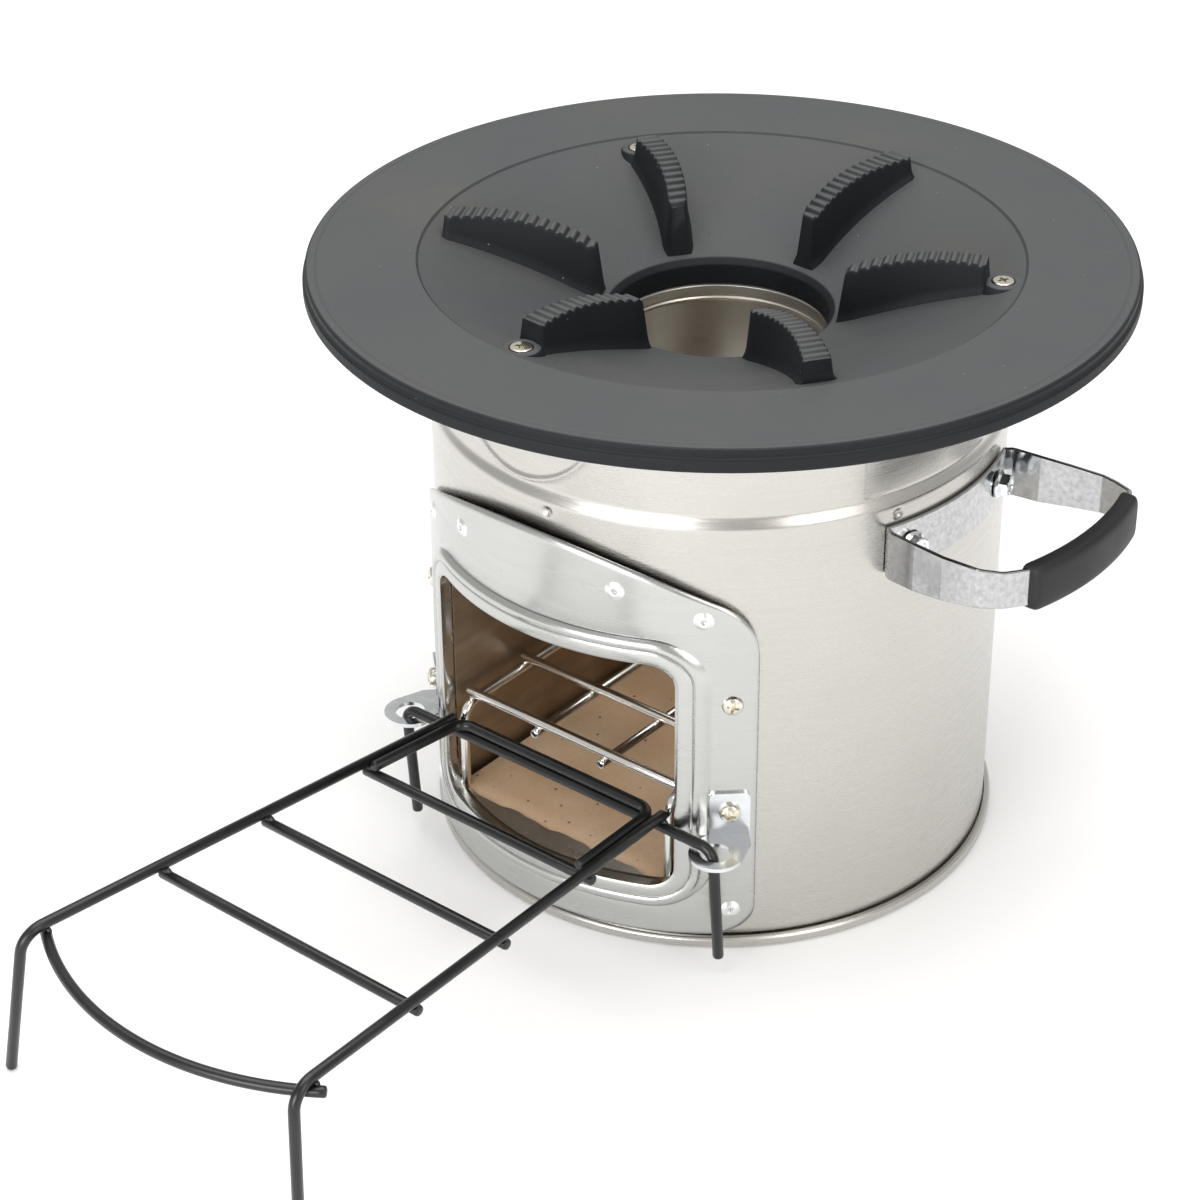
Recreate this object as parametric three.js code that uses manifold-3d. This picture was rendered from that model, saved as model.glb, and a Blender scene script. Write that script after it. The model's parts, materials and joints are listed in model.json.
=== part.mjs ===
// Rocket stove with a wide cast cooktop, fuel door, wire grate, drop-in log rack and two side handles.
// Millimetres, +Z up, origin at the centre of the base underside, fuel door facing -Y.
import * as THREE from "three";
import { mergeVertices } from "three/addons/utils/BufferGeometryUtils.js";
import Module from "manifold-3d";

const wasm = await Module();
wasm.setup();

// ---- driving dimensions ----
const GAP = 0.35;
const RAD = Math.PI / 180;
const ROUND = 72;
const FAR = 150;

const BODY_R = 134.5;
const NECK_R = 132.2;
const SHEET = 0.8;
const SHOULDER_Z = 222;
const BODY_TOP = 285.1;

const PLATE_R = 190;
const PLATE_TOP = 292.5;
const PLATE_EDGE = 11;
const PLATE_THICK = 7;
const DISH_R = 137.5;
const DISH_STEP = 0.9;
const HOLE_R = 50;
const HOLE_TOP = 264;
const COLLAR_BOTTOM = 252;
const COLLAR_FLARE_R = 57;
const COLLAR_FLARE_Z = 259.5;
const UNDER_FLAT_R = 131;

const CAST_TURN = -64.5;
const FIN_IN = 57.5;
const FIN_OUT_LONG = 129;
const FIN_OUT_SHORT = 120.5;
const FIN_TOP = 299.4;
const FIN_DROP = 0.0031;
const FIN_LEVEL_R = 112;
const FIN_TOOTH = 1.3;
const FIN_PITCH = 5;
const FIN_BOW = 4.5;
const FIN_LEAN = 2.4;
const FIN_HALF_IN = 3.4;
const FIN_HALF_GROW = 2.5;
const FIN_DRAFT = 1.15;
const COOK_SCREW_R = 128.3;
const COOK_BORE_R = 2.9;
const COOK_SCREW_TURNS = [330, 90, 210];
const BOSS_R = 8.4;
const BOSS_TOP = 290.9;

const DOOR_HALF = 70;
const DOOR_LOW = 35;
const DOOR_HIGH = 157;
const DOOR_CORNER = 12;
const FRAME_HALF = 96.6;
const FRAME_LOW = 9;
const FRAME_CROWN = 211;
const FRAME_CROWN_R = 157.8;
const FRAME_STANDOFF = 3;
const FRAME_SHEET = 1.2;
const BEAD_WIDE = 9.5;
const BEAD_HIGH = 2.2;

const FIRE_HALF = 68.5;
const FIRE_FLOOR = 14;
const FIRE_ROOF = 158;
const FIRE_BACK = 56;
const FIRE_FRONT_R = 133.2;
const FIRE_SHEET = 1.2;
const TILE_HALF = 66;
const TILE_TOP = 34;
const TILE_FRONT_R = 131.8;
const SILL_HALF = 60;
const SILL_BACK_Y = -120.7;
const CHAMBER_R = 52.2;

const WIRE_R = 2.6;
const RACK_ROD_Z = 70;
const RACK_ROD_Y = -124;
const RACK_PEG_X = 93;
const RACK_PEG_Y = -124.6;
const RACK_PEG_END = 9;
const RACK_PEG_DRIFT = [2, 2.6];
const RAIL_BACK_X = 63.4;
const RAIL_FRONT_X = 80.6;
const RAIL_FRONT_Y = -368;
const RAIL_FRONT_Z = 80;
const RACK_BARS_Y = [-176.5, -236, -293.5];
const RACK_BAR_OVER = 2;
const RACK_BOW_BACK = 13;
const RACK_BOW_SAG = 27;
const RACK_SKEW_BACK = 1;
const RACK_SKEW_FRONT = -10.4;
const RACK_LEG_SPLAY = 8.2;
const RACK_LEG_RAKE = 3;

const EYE_X = 93;
const EYE_Y = -121;
const EYE_R = 12.5;
const EYE_HOLE = 7.2;
const LUG_X = 88;
const LUG_TOP = 89;
const LUG_TONGUE = 66;
const LUG_HALF = 9.3;

const GRATE_R = 2.4;
const GRATE_HALF = 62.2;
const GRATE_Z = 79;
const GRATE_FRONT = -116;
const GRATE_BACK = 22;
const GRATE_PITCH = 39.5;
const GRATE_RUN_X = 20;

const HANDLE_Z = 202;
const STRAP_TALL = 24;
const STRAP_TIP = 18;
const STRAP_THICK = 2;
const STRAP_HALF = 50;
const STRAP_REACH = 193.2;
const STRAP_BOW = 5.2;
const BAR_HALF = 39;
const BAR_MID_Y = 7;
const GRIP_TALL = 22;
const GRIP_THICK = 10;
const GRIP_HALF = 41.2;
const HANDLE_BOLT_Y = 34;
const BOLT_HOLE_R = 3.3;
const RIVET_HOLE_R = 2.7;

// The door frame is bent tighter than the body, so it stands off in the middle.
const EDGE_Y = Math.sqrt((BODY_R + GAP) ** 2 - FRAME_HALF ** 2);
const FRAME_PROUD = BODY_R + GAP + FRAME_STANDOFF;
const FRAME_C = (FRAME_PROUD ** 2 - FRAME_HALF ** 2 - EDGE_Y ** 2) / (2 * (FRAME_PROUD - EDGE_Y));
const FRAME_R = FRAME_PROUD - FRAME_C;

// ---- small helpers ----
function toManifold(geometry) {
  const g = geometry.clone();
  g.deleteAttribute("normal");
  g.deleteAttribute("uv");
  const m = mergeVertices(g, 1e-4);
  const vertProperties = new Float32Array(m.attributes.position.array);
  const triVerts = new Uint32Array(m.index.array);
  return new wasm.Manifold(new wasm.Mesh({ numProp: 3, vertProperties, triVerts }));
}

function fromManifold(body) {
  const mesh = body.getMesh();
  const g = new THREE.BufferGeometry();
  g.setAttribute("position", new THREE.BufferAttribute(new Float32Array(mesh.vertProperties), 3));
  g.setIndex(new THREE.BufferAttribute(new Uint32Array(mesh.triVerts), 1));
  g.computeVertexNormals();
  return g;
}

function join(...parts) {
  return fromManifold(parts.map(toManifold).reduce((a, b) => a.add(b)));
}

function cut(base, ...tools) {
  return fromManifold(tools.map(toManifold).reduce((a, b) => a.subtract(b), toManifold(base)));
}

function overlap(a, b) {
  return fromManifold(toManifold(a).intersect(toManifold(b)));
}

function lathe(points, segments = ROUND) {
  const g = new THREE.LatheGeometry(points.map(([r, z]) => new THREE.Vector2(r, z)), segments);
  return g.rotateX(Math.PI / 2);
}

function tube(rIn, rOut, z0, z1, segments = ROUND) {
  return lathe([[rIn, z0], [rOut, z0], [rOut, z1], [rIn, z1], [rIn, z0]], segments);
}

function disc(r, z0, z1, segments = 24) {
  return lathe([[0, z0], [r, z0], [r, z1], [0, z1]], segments);
}

function extrudeZ(shape, z0, z1, curveSegments = 12) {
  const g = new THREE.ExtrudeGeometry(shape, { depth: z1 - z0, bevelEnabled: false, curveSegments });
  return g.translate(0, 0, z0);
}

// An outline drawn as (x, z), pushed through the front wall along -Y.
function extrudeFront(shape, y0, y1, curveSegments = 4) {
  const g = new THREE.ExtrudeGeometry(shape, { depth: y1 - y0, bevelEnabled: false, curveSegments });
  return g.rotateX(Math.PI / 2).translate(0, y1, 0);
}

function block(x0, x1, y0, y1, z0, z1) {
  const g = new THREE.BoxGeometry(x1 - x0, y1 - y0, z1 - z0);
  return g.translate((x0 + x1) / 2, (y0 + y1) / 2, (z0 + z1) / 2);
}

function roundedRect(half, low, high, corner) {
  const s = new THREE.Shape();
  s.moveTo(-half + corner, low);
  s.lineTo(half - corner, low);
  s.absarc(half - corner, low + corner, corner, -Math.PI / 2, 0, false);
  s.lineTo(half, high - corner);
  s.absarc(half - corner, high - corner, corner, 0, Math.PI / 2, false);
  s.lineTo(-half + corner, high);
  s.absarc(-half + corner, high - corner, corner, Math.PI / 2, Math.PI, false);
  s.lineTo(-half, low + corner);
  s.absarc(-half + corner, low + corner, corner, Math.PI, 1.5 * Math.PI, false);
  return s;
}

// A bent wire: straight runs joined by round bends, swept with a circular section.
class BentWire extends THREE.Curve {
  constructor(corners, bend, arcSteps) {
    super();
    this.stations = [];
    const n = corners.length;
    for (let i = 0; i < n; i += 1) {
      const p = corners[i];
      if (i === 0 || i === n - 1) {
        const q = i === 0 ? corners[1] : corners[n - 2];
        const t = i === 0 ? q.clone().sub(p) : p.clone().sub(q);
        this.stations.push({ p: p.clone(), t: t.normalize() });
        continue;
      }
      const a = corners[i - 1].clone().sub(p);
      const b = corners[i + 1].clone().sub(p);
      const ua = a.clone().normalize();
      const ub = b.clone().normalize();
      const half = ua.angleTo(ub) / 2;
      const reach = Math.min(bend / Math.tan(half), 0.48 * a.length(), 0.48 * b.length());
      const radius = reach * Math.tan(half);
      const inward = ua.clone().add(ub).normalize();
      const centre = p.clone().addScaledVector(inward, radius / Math.sin(half));
      const from = p.clone().addScaledVector(ua, reach).sub(centre);
      const axis = ub.clone().cross(ua).normalize();
      const sweep = Math.PI - 2 * half;
      for (let k = 0; k <= arcSteps; k += 1) {
        const arm = from.clone().applyAxisAngle(axis, (sweep * k) / arcSteps);
        const t = axis.clone().cross(arm).normalize();
        this.stations.push({ p: centre.clone().add(arm), t });
      }
    }
  }

  pick(u) {
    const f = Math.min(Math.max(u, 0), 1) * (this.stations.length - 1);
    return this.stations[Math.round(f)];
  }

  getPoint(u, target = new THREE.Vector3()) {
    return target.copy(this.pick(u).p);
  }

  getPointAt(u, target) {
    return this.getPoint(u, target);
  }

  getTangentAt(u, target = new THREE.Vector3()) {
    return target.copy(this.pick(u).t);
  }
}

function sweepWire(points, radius, bend, sides = 8, arcSteps = 4) {
  const path = new BentWire(points.map((p) => new THREE.Vector3(...p)), bend, arcSteps);
  const section = new THREE.Shape();
  section.absarc(0, 0, radius, 0, 2 * Math.PI, false);
  return new THREE.ExtrudeGeometry(section, {
    steps: path.stations.length - 1,
    curveSegments: sides / 2,
    extrudePath: path,
  });
}

function paint(name, geometry, color, roughness, metalness) {
  const mesh = new THREE.Mesh(geometry, new THREE.MeshStandardMaterial({ color, roughness, metalness }));
  mesh.name = name;
  return mesh;
}

const steel = (name, g) => paint(name, g, 0xd6d3cc, 0.32, 0.9);
const zinc = (name, g) => paint(name, g, 0xc9ccd0, 0.28, 0.95);
const bright = (name, g) => paint(name, g, 0xd8d8d6, 0.22, 0.95);
const coated = (name, g) => paint(name, g, 0x17181a, 0.42, 0.2);

// A drill pointing away from the stove axis; azimuth 0 is the front, + towards the right.
function radialDrill(radius, z, azimuth) {
  const g = disc(radius, BODY_R - 10, BODY_R + 15, 12);
  return g.rotateX(Math.PI / 2).translate(0, 0, z).rotateZ(azimuth);
}

function boltAzimuth(k) {
  return Math.PI / 2 + k * Math.asin(HANDLE_BOLT_Y / BODY_R);
}

// ---- where the front fasteners sit: azimuth from the front and height ----
const FRAME_RIVETS = [[-34.8, 179.5], [-18.5, 191], [18.5, 191], [34.8, 179.5], [-40.5, 23], [40.5, 23]];
const FRAME_SCREWS = [[-40.3, 135.5], [40.3, 135.5]];
const LUG_SCREW_Z = 79;

function frameOuterY(x, extra = 0) {
  return -(FRAME_C + Math.sqrt((FRAME_R + FRAME_SHEET + extra) ** 2 - x ** 2));
}

// Distance from the stove axis and direction of a point on the frame's outer face.
function frameSeat(azimuthDegrees) {
  const a = azimuthDegrees * RAD;
  const rOut = FRAME_R + FRAME_SHEET;
  const s = FRAME_C * Math.cos(a) + Math.sqrt(rOut ** 2 - (FRAME_C * Math.sin(a)) ** 2);
  const x = s * Math.sin(a);
  return { x, y: -s * Math.cos(a), tilt: Math.asin(x / rOut) };
}

function seatOnFrame(geometry, azimuthDegrees, z) {
  const seat = frameSeat(azimuthDegrees);
  return geometry.rotateX(Math.PI / 2).rotateZ(seat.tilt).translate(seat.x, seat.y, z);
}

function frameDrills() {
  const lugs = [-1, 1].map((side) => [side * lugAzimuth(), LUG_SCREW_Z]);
  const spots = [...FRAME_RIVETS, ...FRAME_SCREWS, ...lugs];
  return spots.map(([az, z]) => seatOnFrame(disc(RIVET_HOLE_R, -14, 8, 10), az, z));
}

function lugAzimuth() {
  return Math.atan2(LUG_X, -frameOuterY(LUG_X)) / RAD;
}

// ---- body ----
function outerShell() {
  const t = SHEET;
  const outer = [[BODY_R, 2.4], [BODY_R, SHOULDER_Z]];
  const inner = [[BODY_R - t, SHOULDER_Z], [BODY_R - t, 2.4]];
  const steps = 3;
  const drop = BODY_R - NECK_R;
  for (let i = 1; i <= steps; i += 1) {
    const a = (i / steps) * Math.PI;
    const r = BODY_R - (drop * (1 - Math.cos(a))) / 2;
    const z = SHOULDER_Z + (7 * i) / steps;
    outer.push([r, z]);
    inner.unshift([r - t, z]);
  }
  outer.push([NECK_R, BODY_TOP]);
  inner.unshift([NECK_R - t, BODY_TOP]);
  const wall = lathe([...outer, ...inner, outer[0]]);
  const door = extrudeFront(roundedRect(DOOR_HALF + 0.6, DOOR_LOW - 4, DOOR_HIGH + 4, 3), -FAR, -80, 1);
  const holes = frameDrills();
  for (const side of [-1, 1]) {
    for (const k of [-1, 1]) {
      holes.push(radialDrill(BOLT_HOLE_R, HANDLE_Z, side * boltAzimuth(k)));
    }
  }
  return steel("outer_shell", cut(wall, door, ...holes));
}

function basePan() {
  const lip = BODY_R + GAP;
  const profile = [
    [0, 0], [lip + 1.1, 0], [lip + 3.2, 1.4], [lip + 3.2, 4.4], [lip + 1.6, 5.8], [lip, 5.8],
    [lip, 2 * SHEET], [0, 2 * SHEET],
  ];
  return steel("base_pan", lathe(profile));
}

function deckRing() {
  const slope = (PLATE_TOP - PLATE_THICK - COLLAR_FLARE_Z) / (UNDER_FLAT_R - COLLAR_FLARE_R);
  const zAt = (r) => COLLAR_FLARE_Z + (r - COLLAR_FLARE_R) * slope - 2;
  const rIn = COLLAR_FLARE_R + 2;
  const rOut = NECK_R - SHEET - GAP;
  const thick = 1.2;
  const ring = lathe([
    [rIn, zAt(rIn) - thick], [rOut, zAt(rOut) - thick], [rOut, zAt(rOut)], [rIn, zAt(rIn)],
    [rIn, zAt(rIn) - thick],
  ], 48);
  const holes = cookScrewSpots().map(([x, y]) => disc(COOK_BORE_R, 250, 300, 12).translate(x, y, 0));
  return zinc("deck_ring", cut(ring, ...holes));
}

// ---- cast cooktop ----
function dishTop(r) {
  const full = PLATE_TOP - DISH_STEP;
  return full - ((DISH_R - r) / (DISH_R - HOLE_R)) * (full - HOLE_TOP);
}

function cookScrewSpots() {
  return COOK_SCREW_TURNS.map((a) => {
    const t = (CAST_TURN + a) * RAD;
    return [COOK_SCREW_R * Math.cos(t), COOK_SCREW_R * Math.sin(t)];
  });
}

// The dish with its screw bosses, raised by the gap: what a fin must stay above.
function dishClearance() {
  const rise = 1.2 * GAP;
  const dish = lathe([
    [0, 200], [PLATE_R, 200], [PLATE_R, dishTop(DISH_R) + rise], [DISH_R, dishTop(DISH_R) + rise],
    [HOLE_R, HOLE_TOP + rise], [0, HOLE_TOP + rise],
  ]);
  const bosses = cookScrewSpots().map(([x, y]) => (
    disc(BOSS_R + GAP, 280, BOSS_TOP + rise, 16).translate(x, y, 0)));
  return toManifold(join(dish, ...bosses));
}

// One serrated pot-support fin: u runs from the hole outwards, the bow bends it sideways.
function fin(index) {
  const offset = 60 * index - 150;
  const screwed = COOK_SCREW_TURNS.includes((offset + 360) % 360);
  const rOut = screwed ? FIN_OUT_SHORT : FIN_OUT_LONG;
  const bowSign = offset > 0 ? 1 : -1;
  const span = FIN_OUT_LONG - FIN_IN;
  const centre = (r) => {
    const u = (r - FIN_IN) / span;
    return bowSign * (FIN_BOW * 4 * u * (1 - u) - FIN_LEAN * (1 - u));
  };
  const halfWidth = (r) => FIN_HALF_IN + (FIN_HALF_GROW * (r - FIN_IN)) / span;
  const plan = new THREE.Shape();
  const count = 6;
  const side = (sign, i) => {
    const r = FIN_IN + ((rOut - FIN_IN) * i) / count;
    const soft = i === 0 || i === count ? 0.55 : 1;
    return [r, centre(r) + sign * halfWidth(r) * soft];
  };
  plan.moveTo(...side(-1, 0));
  for (let i = 1; i <= count; i += 1) {
    plan.lineTo(...side(-1, i));
  }
  for (let i = count; i >= 0; i -= 1) {
    plan.lineTo(...side(1, i));
  }
  const low = COLLAR_BOTTOM + 3;
  const high = FIN_TOP + 3;
  const blade = extrudeZ(plan, low, high, 1);
  const p = blade.attributes.position;
  for (let i = 0; i < p.count; i += 1) {
    const c = centre(p.getX(i));
    const grow = 1 + ((high - p.getZ(i)) / (high - low)) * FIN_DRAFT;
    p.setY(i, c + (p.getY(i) - c) * grow);
  }
  const crest = (r) => FIN_TOP - FIN_DROP * Math.max(0, FIN_LEVEL_R - r) ** 2;
  const profile = new THREE.Shape();
  profile.moveTo(FIN_IN - 3, dishTop(FIN_IN - 3) - 3);
  profile.lineTo(rOut + 1, dishTop(rOut + 1) - 2.6);
  profile.lineTo(rOut, crest(rOut));
  const teeth = Math.floor((rOut - FIN_IN - 2) / FIN_PITCH);
  for (let i = 1; i <= teeth; i += 1) {
    const r = rOut - i * FIN_PITCH;
    profile.lineTo(r + 2, crest(r + 2) - FIN_TOOTH);
    profile.lineTo(r, crest(r));
  }
  profile.lineTo(FIN_IN + 0.6, crest(FIN_IN) - 1);
  const slab = new THREE.ExtrudeGeometry(profile, { depth: 60, bevelEnabled: false });
  slab.rotateX(Math.PI / 2).translate(0, 30, 0);
  const body = toManifold(blade).intersect(toManifold(slab)).rotate([0, 0, CAST_TURN + offset]);
  const g = fromManifold(body.subtract(dishClearance()));
  return paint(`cooktop_fin_${index + 1}`, g, 0x3b3c3d, 0.78, 0.15);
}

function cooktop() {
  const edgeLow = PLATE_TOP - PLATE_EDGE;
  const under = PLATE_TOP - PLATE_THICK;
  const profile = [
    [HOLE_R, COLLAR_BOTTOM], [54.5, COLLAR_BOTTOM], [COLLAR_FLARE_R, COLLAR_FLARE_Z], [UNDER_FLAT_R, under],
    [183, under], [185, edgeLow], [189.2, edgeLow], [PLATE_R, edgeLow + 0.8],
    [PLATE_R, edgeLow + 6.2], [189.3, edgeLow + 6.9], [189.3, PLATE_TOP - 0.9],
    [188.4, PLATE_TOP - 0.1], [184, PLATE_TOP], [DISH_R + 0.7, PLATE_TOP],
    [DISH_R, PLATE_TOP - DISH_STEP], [HOLE_R + 1.5, HOLE_TOP + 0.4], [HOLE_R, HOLE_TOP - 0.8],
    [HOLE_R, COLLAR_BOTTOM],
  ];
  let casting = toManifold(lathe(profile));
  for (const [x, y] of cookScrewSpots()) {
    casting = casting.add(toManifold(disc(BOSS_R, 286, BOSS_TOP, 16).translate(x, y, 0)));
    const bore = lathe([
      [0, 270], [COOK_BORE_R, 270], [COOK_BORE_R, 287.6], [5.6, 290.6], [5.6, 296], [0, 296],
    ], 16);
    casting = casting.subtract(toManifold(bore.translate(x, y, 0)));
  }
  return paint("cooktop", fromManifold(casting), 0x3b3c3d, 0.78, 0.15);
}

function crossSlot(z0, z1, reach, width) {
  const a = block(-reach, reach, -width / 2, width / 2, z0, z1);
  const b = block(-width / 2, width / 2, -reach, reach, z0, z1);
  return join(a, b);
}

function cooktopScrew(index) {
  const [x, y] = cookScrewSpots()[index];
  const head = lathe([[0, 272], [2.3, 272], [2.3, 287.7], [5.1, 290.5], [4.6, 290.9], [0, 291.1]], 16);
  const slot = crossSlot(289.8, 292, 2.6, 1.1);
  return zinc(`cooktop_screw_${index + 1}`, cut(head, slot).translate(x, y, 0));
}

// ---- fire path ----
function chamber() {
  const r = CHAMBER_R;
  const foot = FIRE_ROOF + FIRE_SHEET + GAP;
  const brim = COLLAR_BOTTOM - 0.5;
  const profile = [
    [r - 1, FIRE_ROOF + 0.4], [r, FIRE_ROOF + 0.4], [r, foot], [r + 8, foot], [r + 8, foot + 1],
    [r, foot + 1], [r, brim - 1.2], [r + 2.5, brim - 1.2], [r + 2.5, brim], [r - 1.2, brim],
    [r - 1.2, brim - 7], [r - 1, brim - 8], [r - 1, FIRE_ROOF + 0.4],
  ];
  return steel("combustion_chamber", lathe(profile, 40));
}

function firebox() {
  const t = FIRE_SHEET;
  const outside = block(-FIRE_HALF - t, FIRE_HALF + t, -FAR, FIRE_BACK + t, FIRE_FLOOR - t, FIRE_ROOF + t);
  const inside = block(-FIRE_HALF, FIRE_HALF, -FAR - 1, FIRE_BACK, FIRE_FLOOR, FIRE_ROOF);
  const throat = disc(CHAMBER_R + GAP, FIRE_ROOF - 2, FIRE_ROOF + 4, ROUND);
  const round = disc(FIRE_FRONT_R, 0, 200, ROUND);
  const box = overlap(cut(outside, inside, throat), round);
  return paint("firebox", box, 0x6b5a47, 0.5, 0.6);
}

function floorTile() {
  const shape = new THREE.Shape();
  const c = 1.5;
  shape.moveTo(-TILE_HALF, FIRE_FLOOR + GAP);
  shape.lineTo(TILE_HALF, FIRE_FLOOR + GAP);
  shape.lineTo(TILE_HALF, TILE_TOP - c);
  shape.lineTo(TILE_HALF - c, TILE_TOP);
  shape.lineTo(-TILE_HALF + c, TILE_TOP);
  shape.lineTo(-TILE_HALF, TILE_TOP - c);
  const slab = extrudeFront(shape, -FAR, FIRE_BACK - 1);
  return paint("floor_tile", overlap(slab, disc(TILE_FRONT_R, 0, 60, ROUND)), 0xb98a5c, 0.9, 0);
}

// A thin plate from behind the door frame over the tile's front, with a wavy back edge.
function frontSill() {
  const rOut = FRAME_R - 0.5;
  const a = Math.asin(SILL_HALF / rOut);
  const plan = new THREE.Shape();
  plan.absarc(0, -FRAME_C, rOut, -Math.PI / 2 - a, -Math.PI / 2 + a, false);
  const count = 24;
  for (let i = 0; i <= count; i += 1) {
    const x = SILL_HALF * (1 - (2 * i) / count);
    plan.lineTo(x, SILL_BACK_Y + 0.8 * Math.sin(0.19 * x) + 0.5 * Math.sin(0.43 * x + 1));
  }
  return bright("front_sill", extrudeZ(plan, TILE_TOP + GAP, TILE_TOP + GAP + 0.9, 10));
}

// ---- fuel door surround ----
function frameOutline() {
  const s = new THREE.Shape();
  const w = FRAME_HALF;
  const c = 15;
  const joinX = 82;
  const a = Math.acos(joinX / FRAME_CROWN_R);
  const zc = FRAME_CROWN - FRAME_CROWN_R;
  const joinZ = zc + FRAME_CROWN_R * Math.sin(a);
  s.moveTo(-w + c, FRAME_LOW);
  s.lineTo(w - c, FRAME_LOW);
  s.absarc(w - c, FRAME_LOW + c, c, -Math.PI / 2, 0, false);
  s.lineTo(w, 158);
  s.quadraticCurveTo(w, 181, joinX, joinZ);
  s.absarc(0, zc, FRAME_CROWN_R, a, Math.PI - a, false);
  s.quadraticCurveTo(-w, 181, -w, 158);
  s.lineTo(-w, FRAME_LOW + c);
  s.absarc(-w + c, FRAME_LOW + c, c, Math.PI, 1.5 * Math.PI, false);
  return s;
}

function frameBand(outline, rIn, rOut) {
  const push = extrudeFront(outline, -FAR, -60, 3);
  const wall = tube(FRAME_R + rIn, FRAME_R + rOut, 0, 230, ROUND).translate(0, -FRAME_C, 0);
  return toManifold(push).intersect(toManifold(wall));
}

function doorFrame() {
  const t = FRAME_SHEET;
  const ring = (d, rIn, rOut) => frameBand(
    roundedRect(DOOR_HALF + d, DOOR_LOW - d, DOOR_HIGH + d, DOOR_CORNER + d), rIn, rOut);
  let frame = frameBand(frameOutline(), 0, t);
  frame = frame.add(ring(BEAD_WIDE, 0, t + BEAD_HIGH));
  frame = frame.subtract(ring(BEAD_WIDE - t, -1, BEAD_HIGH));
  frame = frame.add(ring(t, 0, t + BEAD_HIGH - 0.6));
  frame = frame.subtract(ring(5.6, t + BEAD_HIGH - 0.7, t + BEAD_HIGH + 2));
  frame = frame.add(ring(4.4, BEAD_HIGH - 0.9, t + BEAD_HIGH));
  frame = frame.subtract(ring(0, -3, t + BEAD_HIGH + 4));
  for (const tool of frameDrills()) {
    frame = frame.subtract(toManifold(tool));
  }
  return steel("door_frame", fromManifold(frame));
}

function frameRivet(index) {
  const [az, z] = FRAME_RIVETS[index];
  const g = lathe([
    [0, -6.5], [2.3, -6.5], [2.3, GAP], [4.8, GAP], [4.7, 0.9], [3.4, 1.9], [1.3, 2.2],
    [1.1, 1.2], [0, 1.2],
  ], 12);
  return bright(`frame_rivet_${index + 1}`, seatOnFrame(g, az, z));
}

function panScrew(reach) {
  const g = lathe([
    [0, -reach], [2.3, -reach], [2.3, 0], [4.9, 0], [4.9, 1.2], [4.3, 2.3], [2.8, 3], [0, 3.2],
  ], 16);
  return cut(g, crossSlot(1.9, 4, 2.7, 1.1));
}

function frameScrew(index) {
  const [az, z] = FRAME_SCREWS[index];
  const g = panScrew(8).translate(0, 0, GAP);
  return zinc(`frame_screw_${index + 1}`, seatOnFrame(g, az, z));
}

// ---- rack lugs: a screwed tab with a tongue that ends in an eye ----
function lug(side) {
  const y0 = frameOuterY(LUG_X);
  const tilt = Math.asin(LUG_X / (FRAME_R + FRAME_SHEET));
  const n = new THREE.Vector2(Math.sin(tilt), -Math.cos(tilt));
  const t = new THREE.Vector2(Math.cos(tilt), Math.sin(tilt));
  const at = (along, out) => new THREE.Vector2(LUG_X, y0).addScaledVector(t, along).addScaledVector(n, out);
  const thick = 1.9;
  const lift = 0.5;
  const eye = new THREE.Vector2(EYE_X, EYE_Y);
  const touch = (p, sign) => {
    const d = p.clone().sub(eye);
    return Math.atan2(d.y, d.x) + sign * Math.acos(EYE_R / d.length());
  };
  const w = LUG_HALF;
  const left = at(-w, lift);
  const right = at(w, lift);
  const shoulder = at(w, 8);
  const a0 = touch(shoulder, -1);
  const a1 = touch(left, 1);
  const plan = new THREE.Shape();
  plan.moveTo(left.x, left.y);
  plan.lineTo(right.x, right.y);
  plan.lineTo(shoulder.x, shoulder.y);
  plan.absarc(eye.x, eye.y, EYE_R, a0, a1, true);
  const tongue = extrudeZ(plan, LUG_TONGUE - thick, LUG_TONGUE, 10);
  const tabShape = new THREE.Shape();
  tabShape.moveTo(-w, LUG_TONGUE - thick);
  tabShape.lineTo(w, LUG_TONGUE - thick);
  tabShape.lineTo(w, LUG_TOP - 3);
  tabShape.absarc(w - 3, LUG_TOP - 3, 3, 0, Math.PI / 2, false);
  tabShape.absarc(3 - w, LUG_TOP - 3, 3, Math.PI / 2, Math.PI, false);
  const tab = extrudeFront(tabShape, -lift - thick, -lift, 5).rotateZ(tilt).translate(LUG_X, y0, 0);
  const eyeHole = disc(EYE_HOLE, 50, 80, 20).translate(eye.x, eye.y, 0);
  const bore = disc(RIVET_HOLE_R, -6, 10, 12).rotateX(Math.PI / 2).rotateZ(tilt);
  bore.translate(LUG_X, y0, LUG_SCREW_Z);
  const g = cut(join(tongue, tab), eyeHole, bore);
  return side > 0 ? g : mirrorX(g);
}

function mirrorX(geometry) {
  const g = geometry.clone().scale(-1, 1, 1);
  const index = g.index.array;
  for (let i = 0; i < index.length; i += 3) {
    const keep = index[i];
    index[i] = index[i + 1];
    index[i + 1] = keep;
  }
  g.computeVertexNormals();
  return g;
}

function lugScrew(side) {
  const g = panScrew(9).translate(0, 0, 2.4 + GAP);
  return seatOnFrame(g, side * lugAzimuth(), LUG_SCREW_Z);
}

// ---- log rack ----
function alongRail(y, back, front) {
  return back + ((front - back) * (y - RACK_ROD_Y)) / (RAIL_FRONT_Y - RACK_ROD_Y);
}

function railX(y) {
  return alongRail(y, RAIL_BACK_X, RAIL_FRONT_X);
}

// The rack is a little out of square: its middle drifts to one side towards the front.
function skewX(y) {
  return alongRail(y, RACK_SKEW_BACK, RACK_SKEW_FRONT);
}

function railZ(y) {
  return alongRail(y, RACK_ROD_Z + 2 * WIRE_R + GAP, RAIL_FRONT_Z);
}

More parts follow.
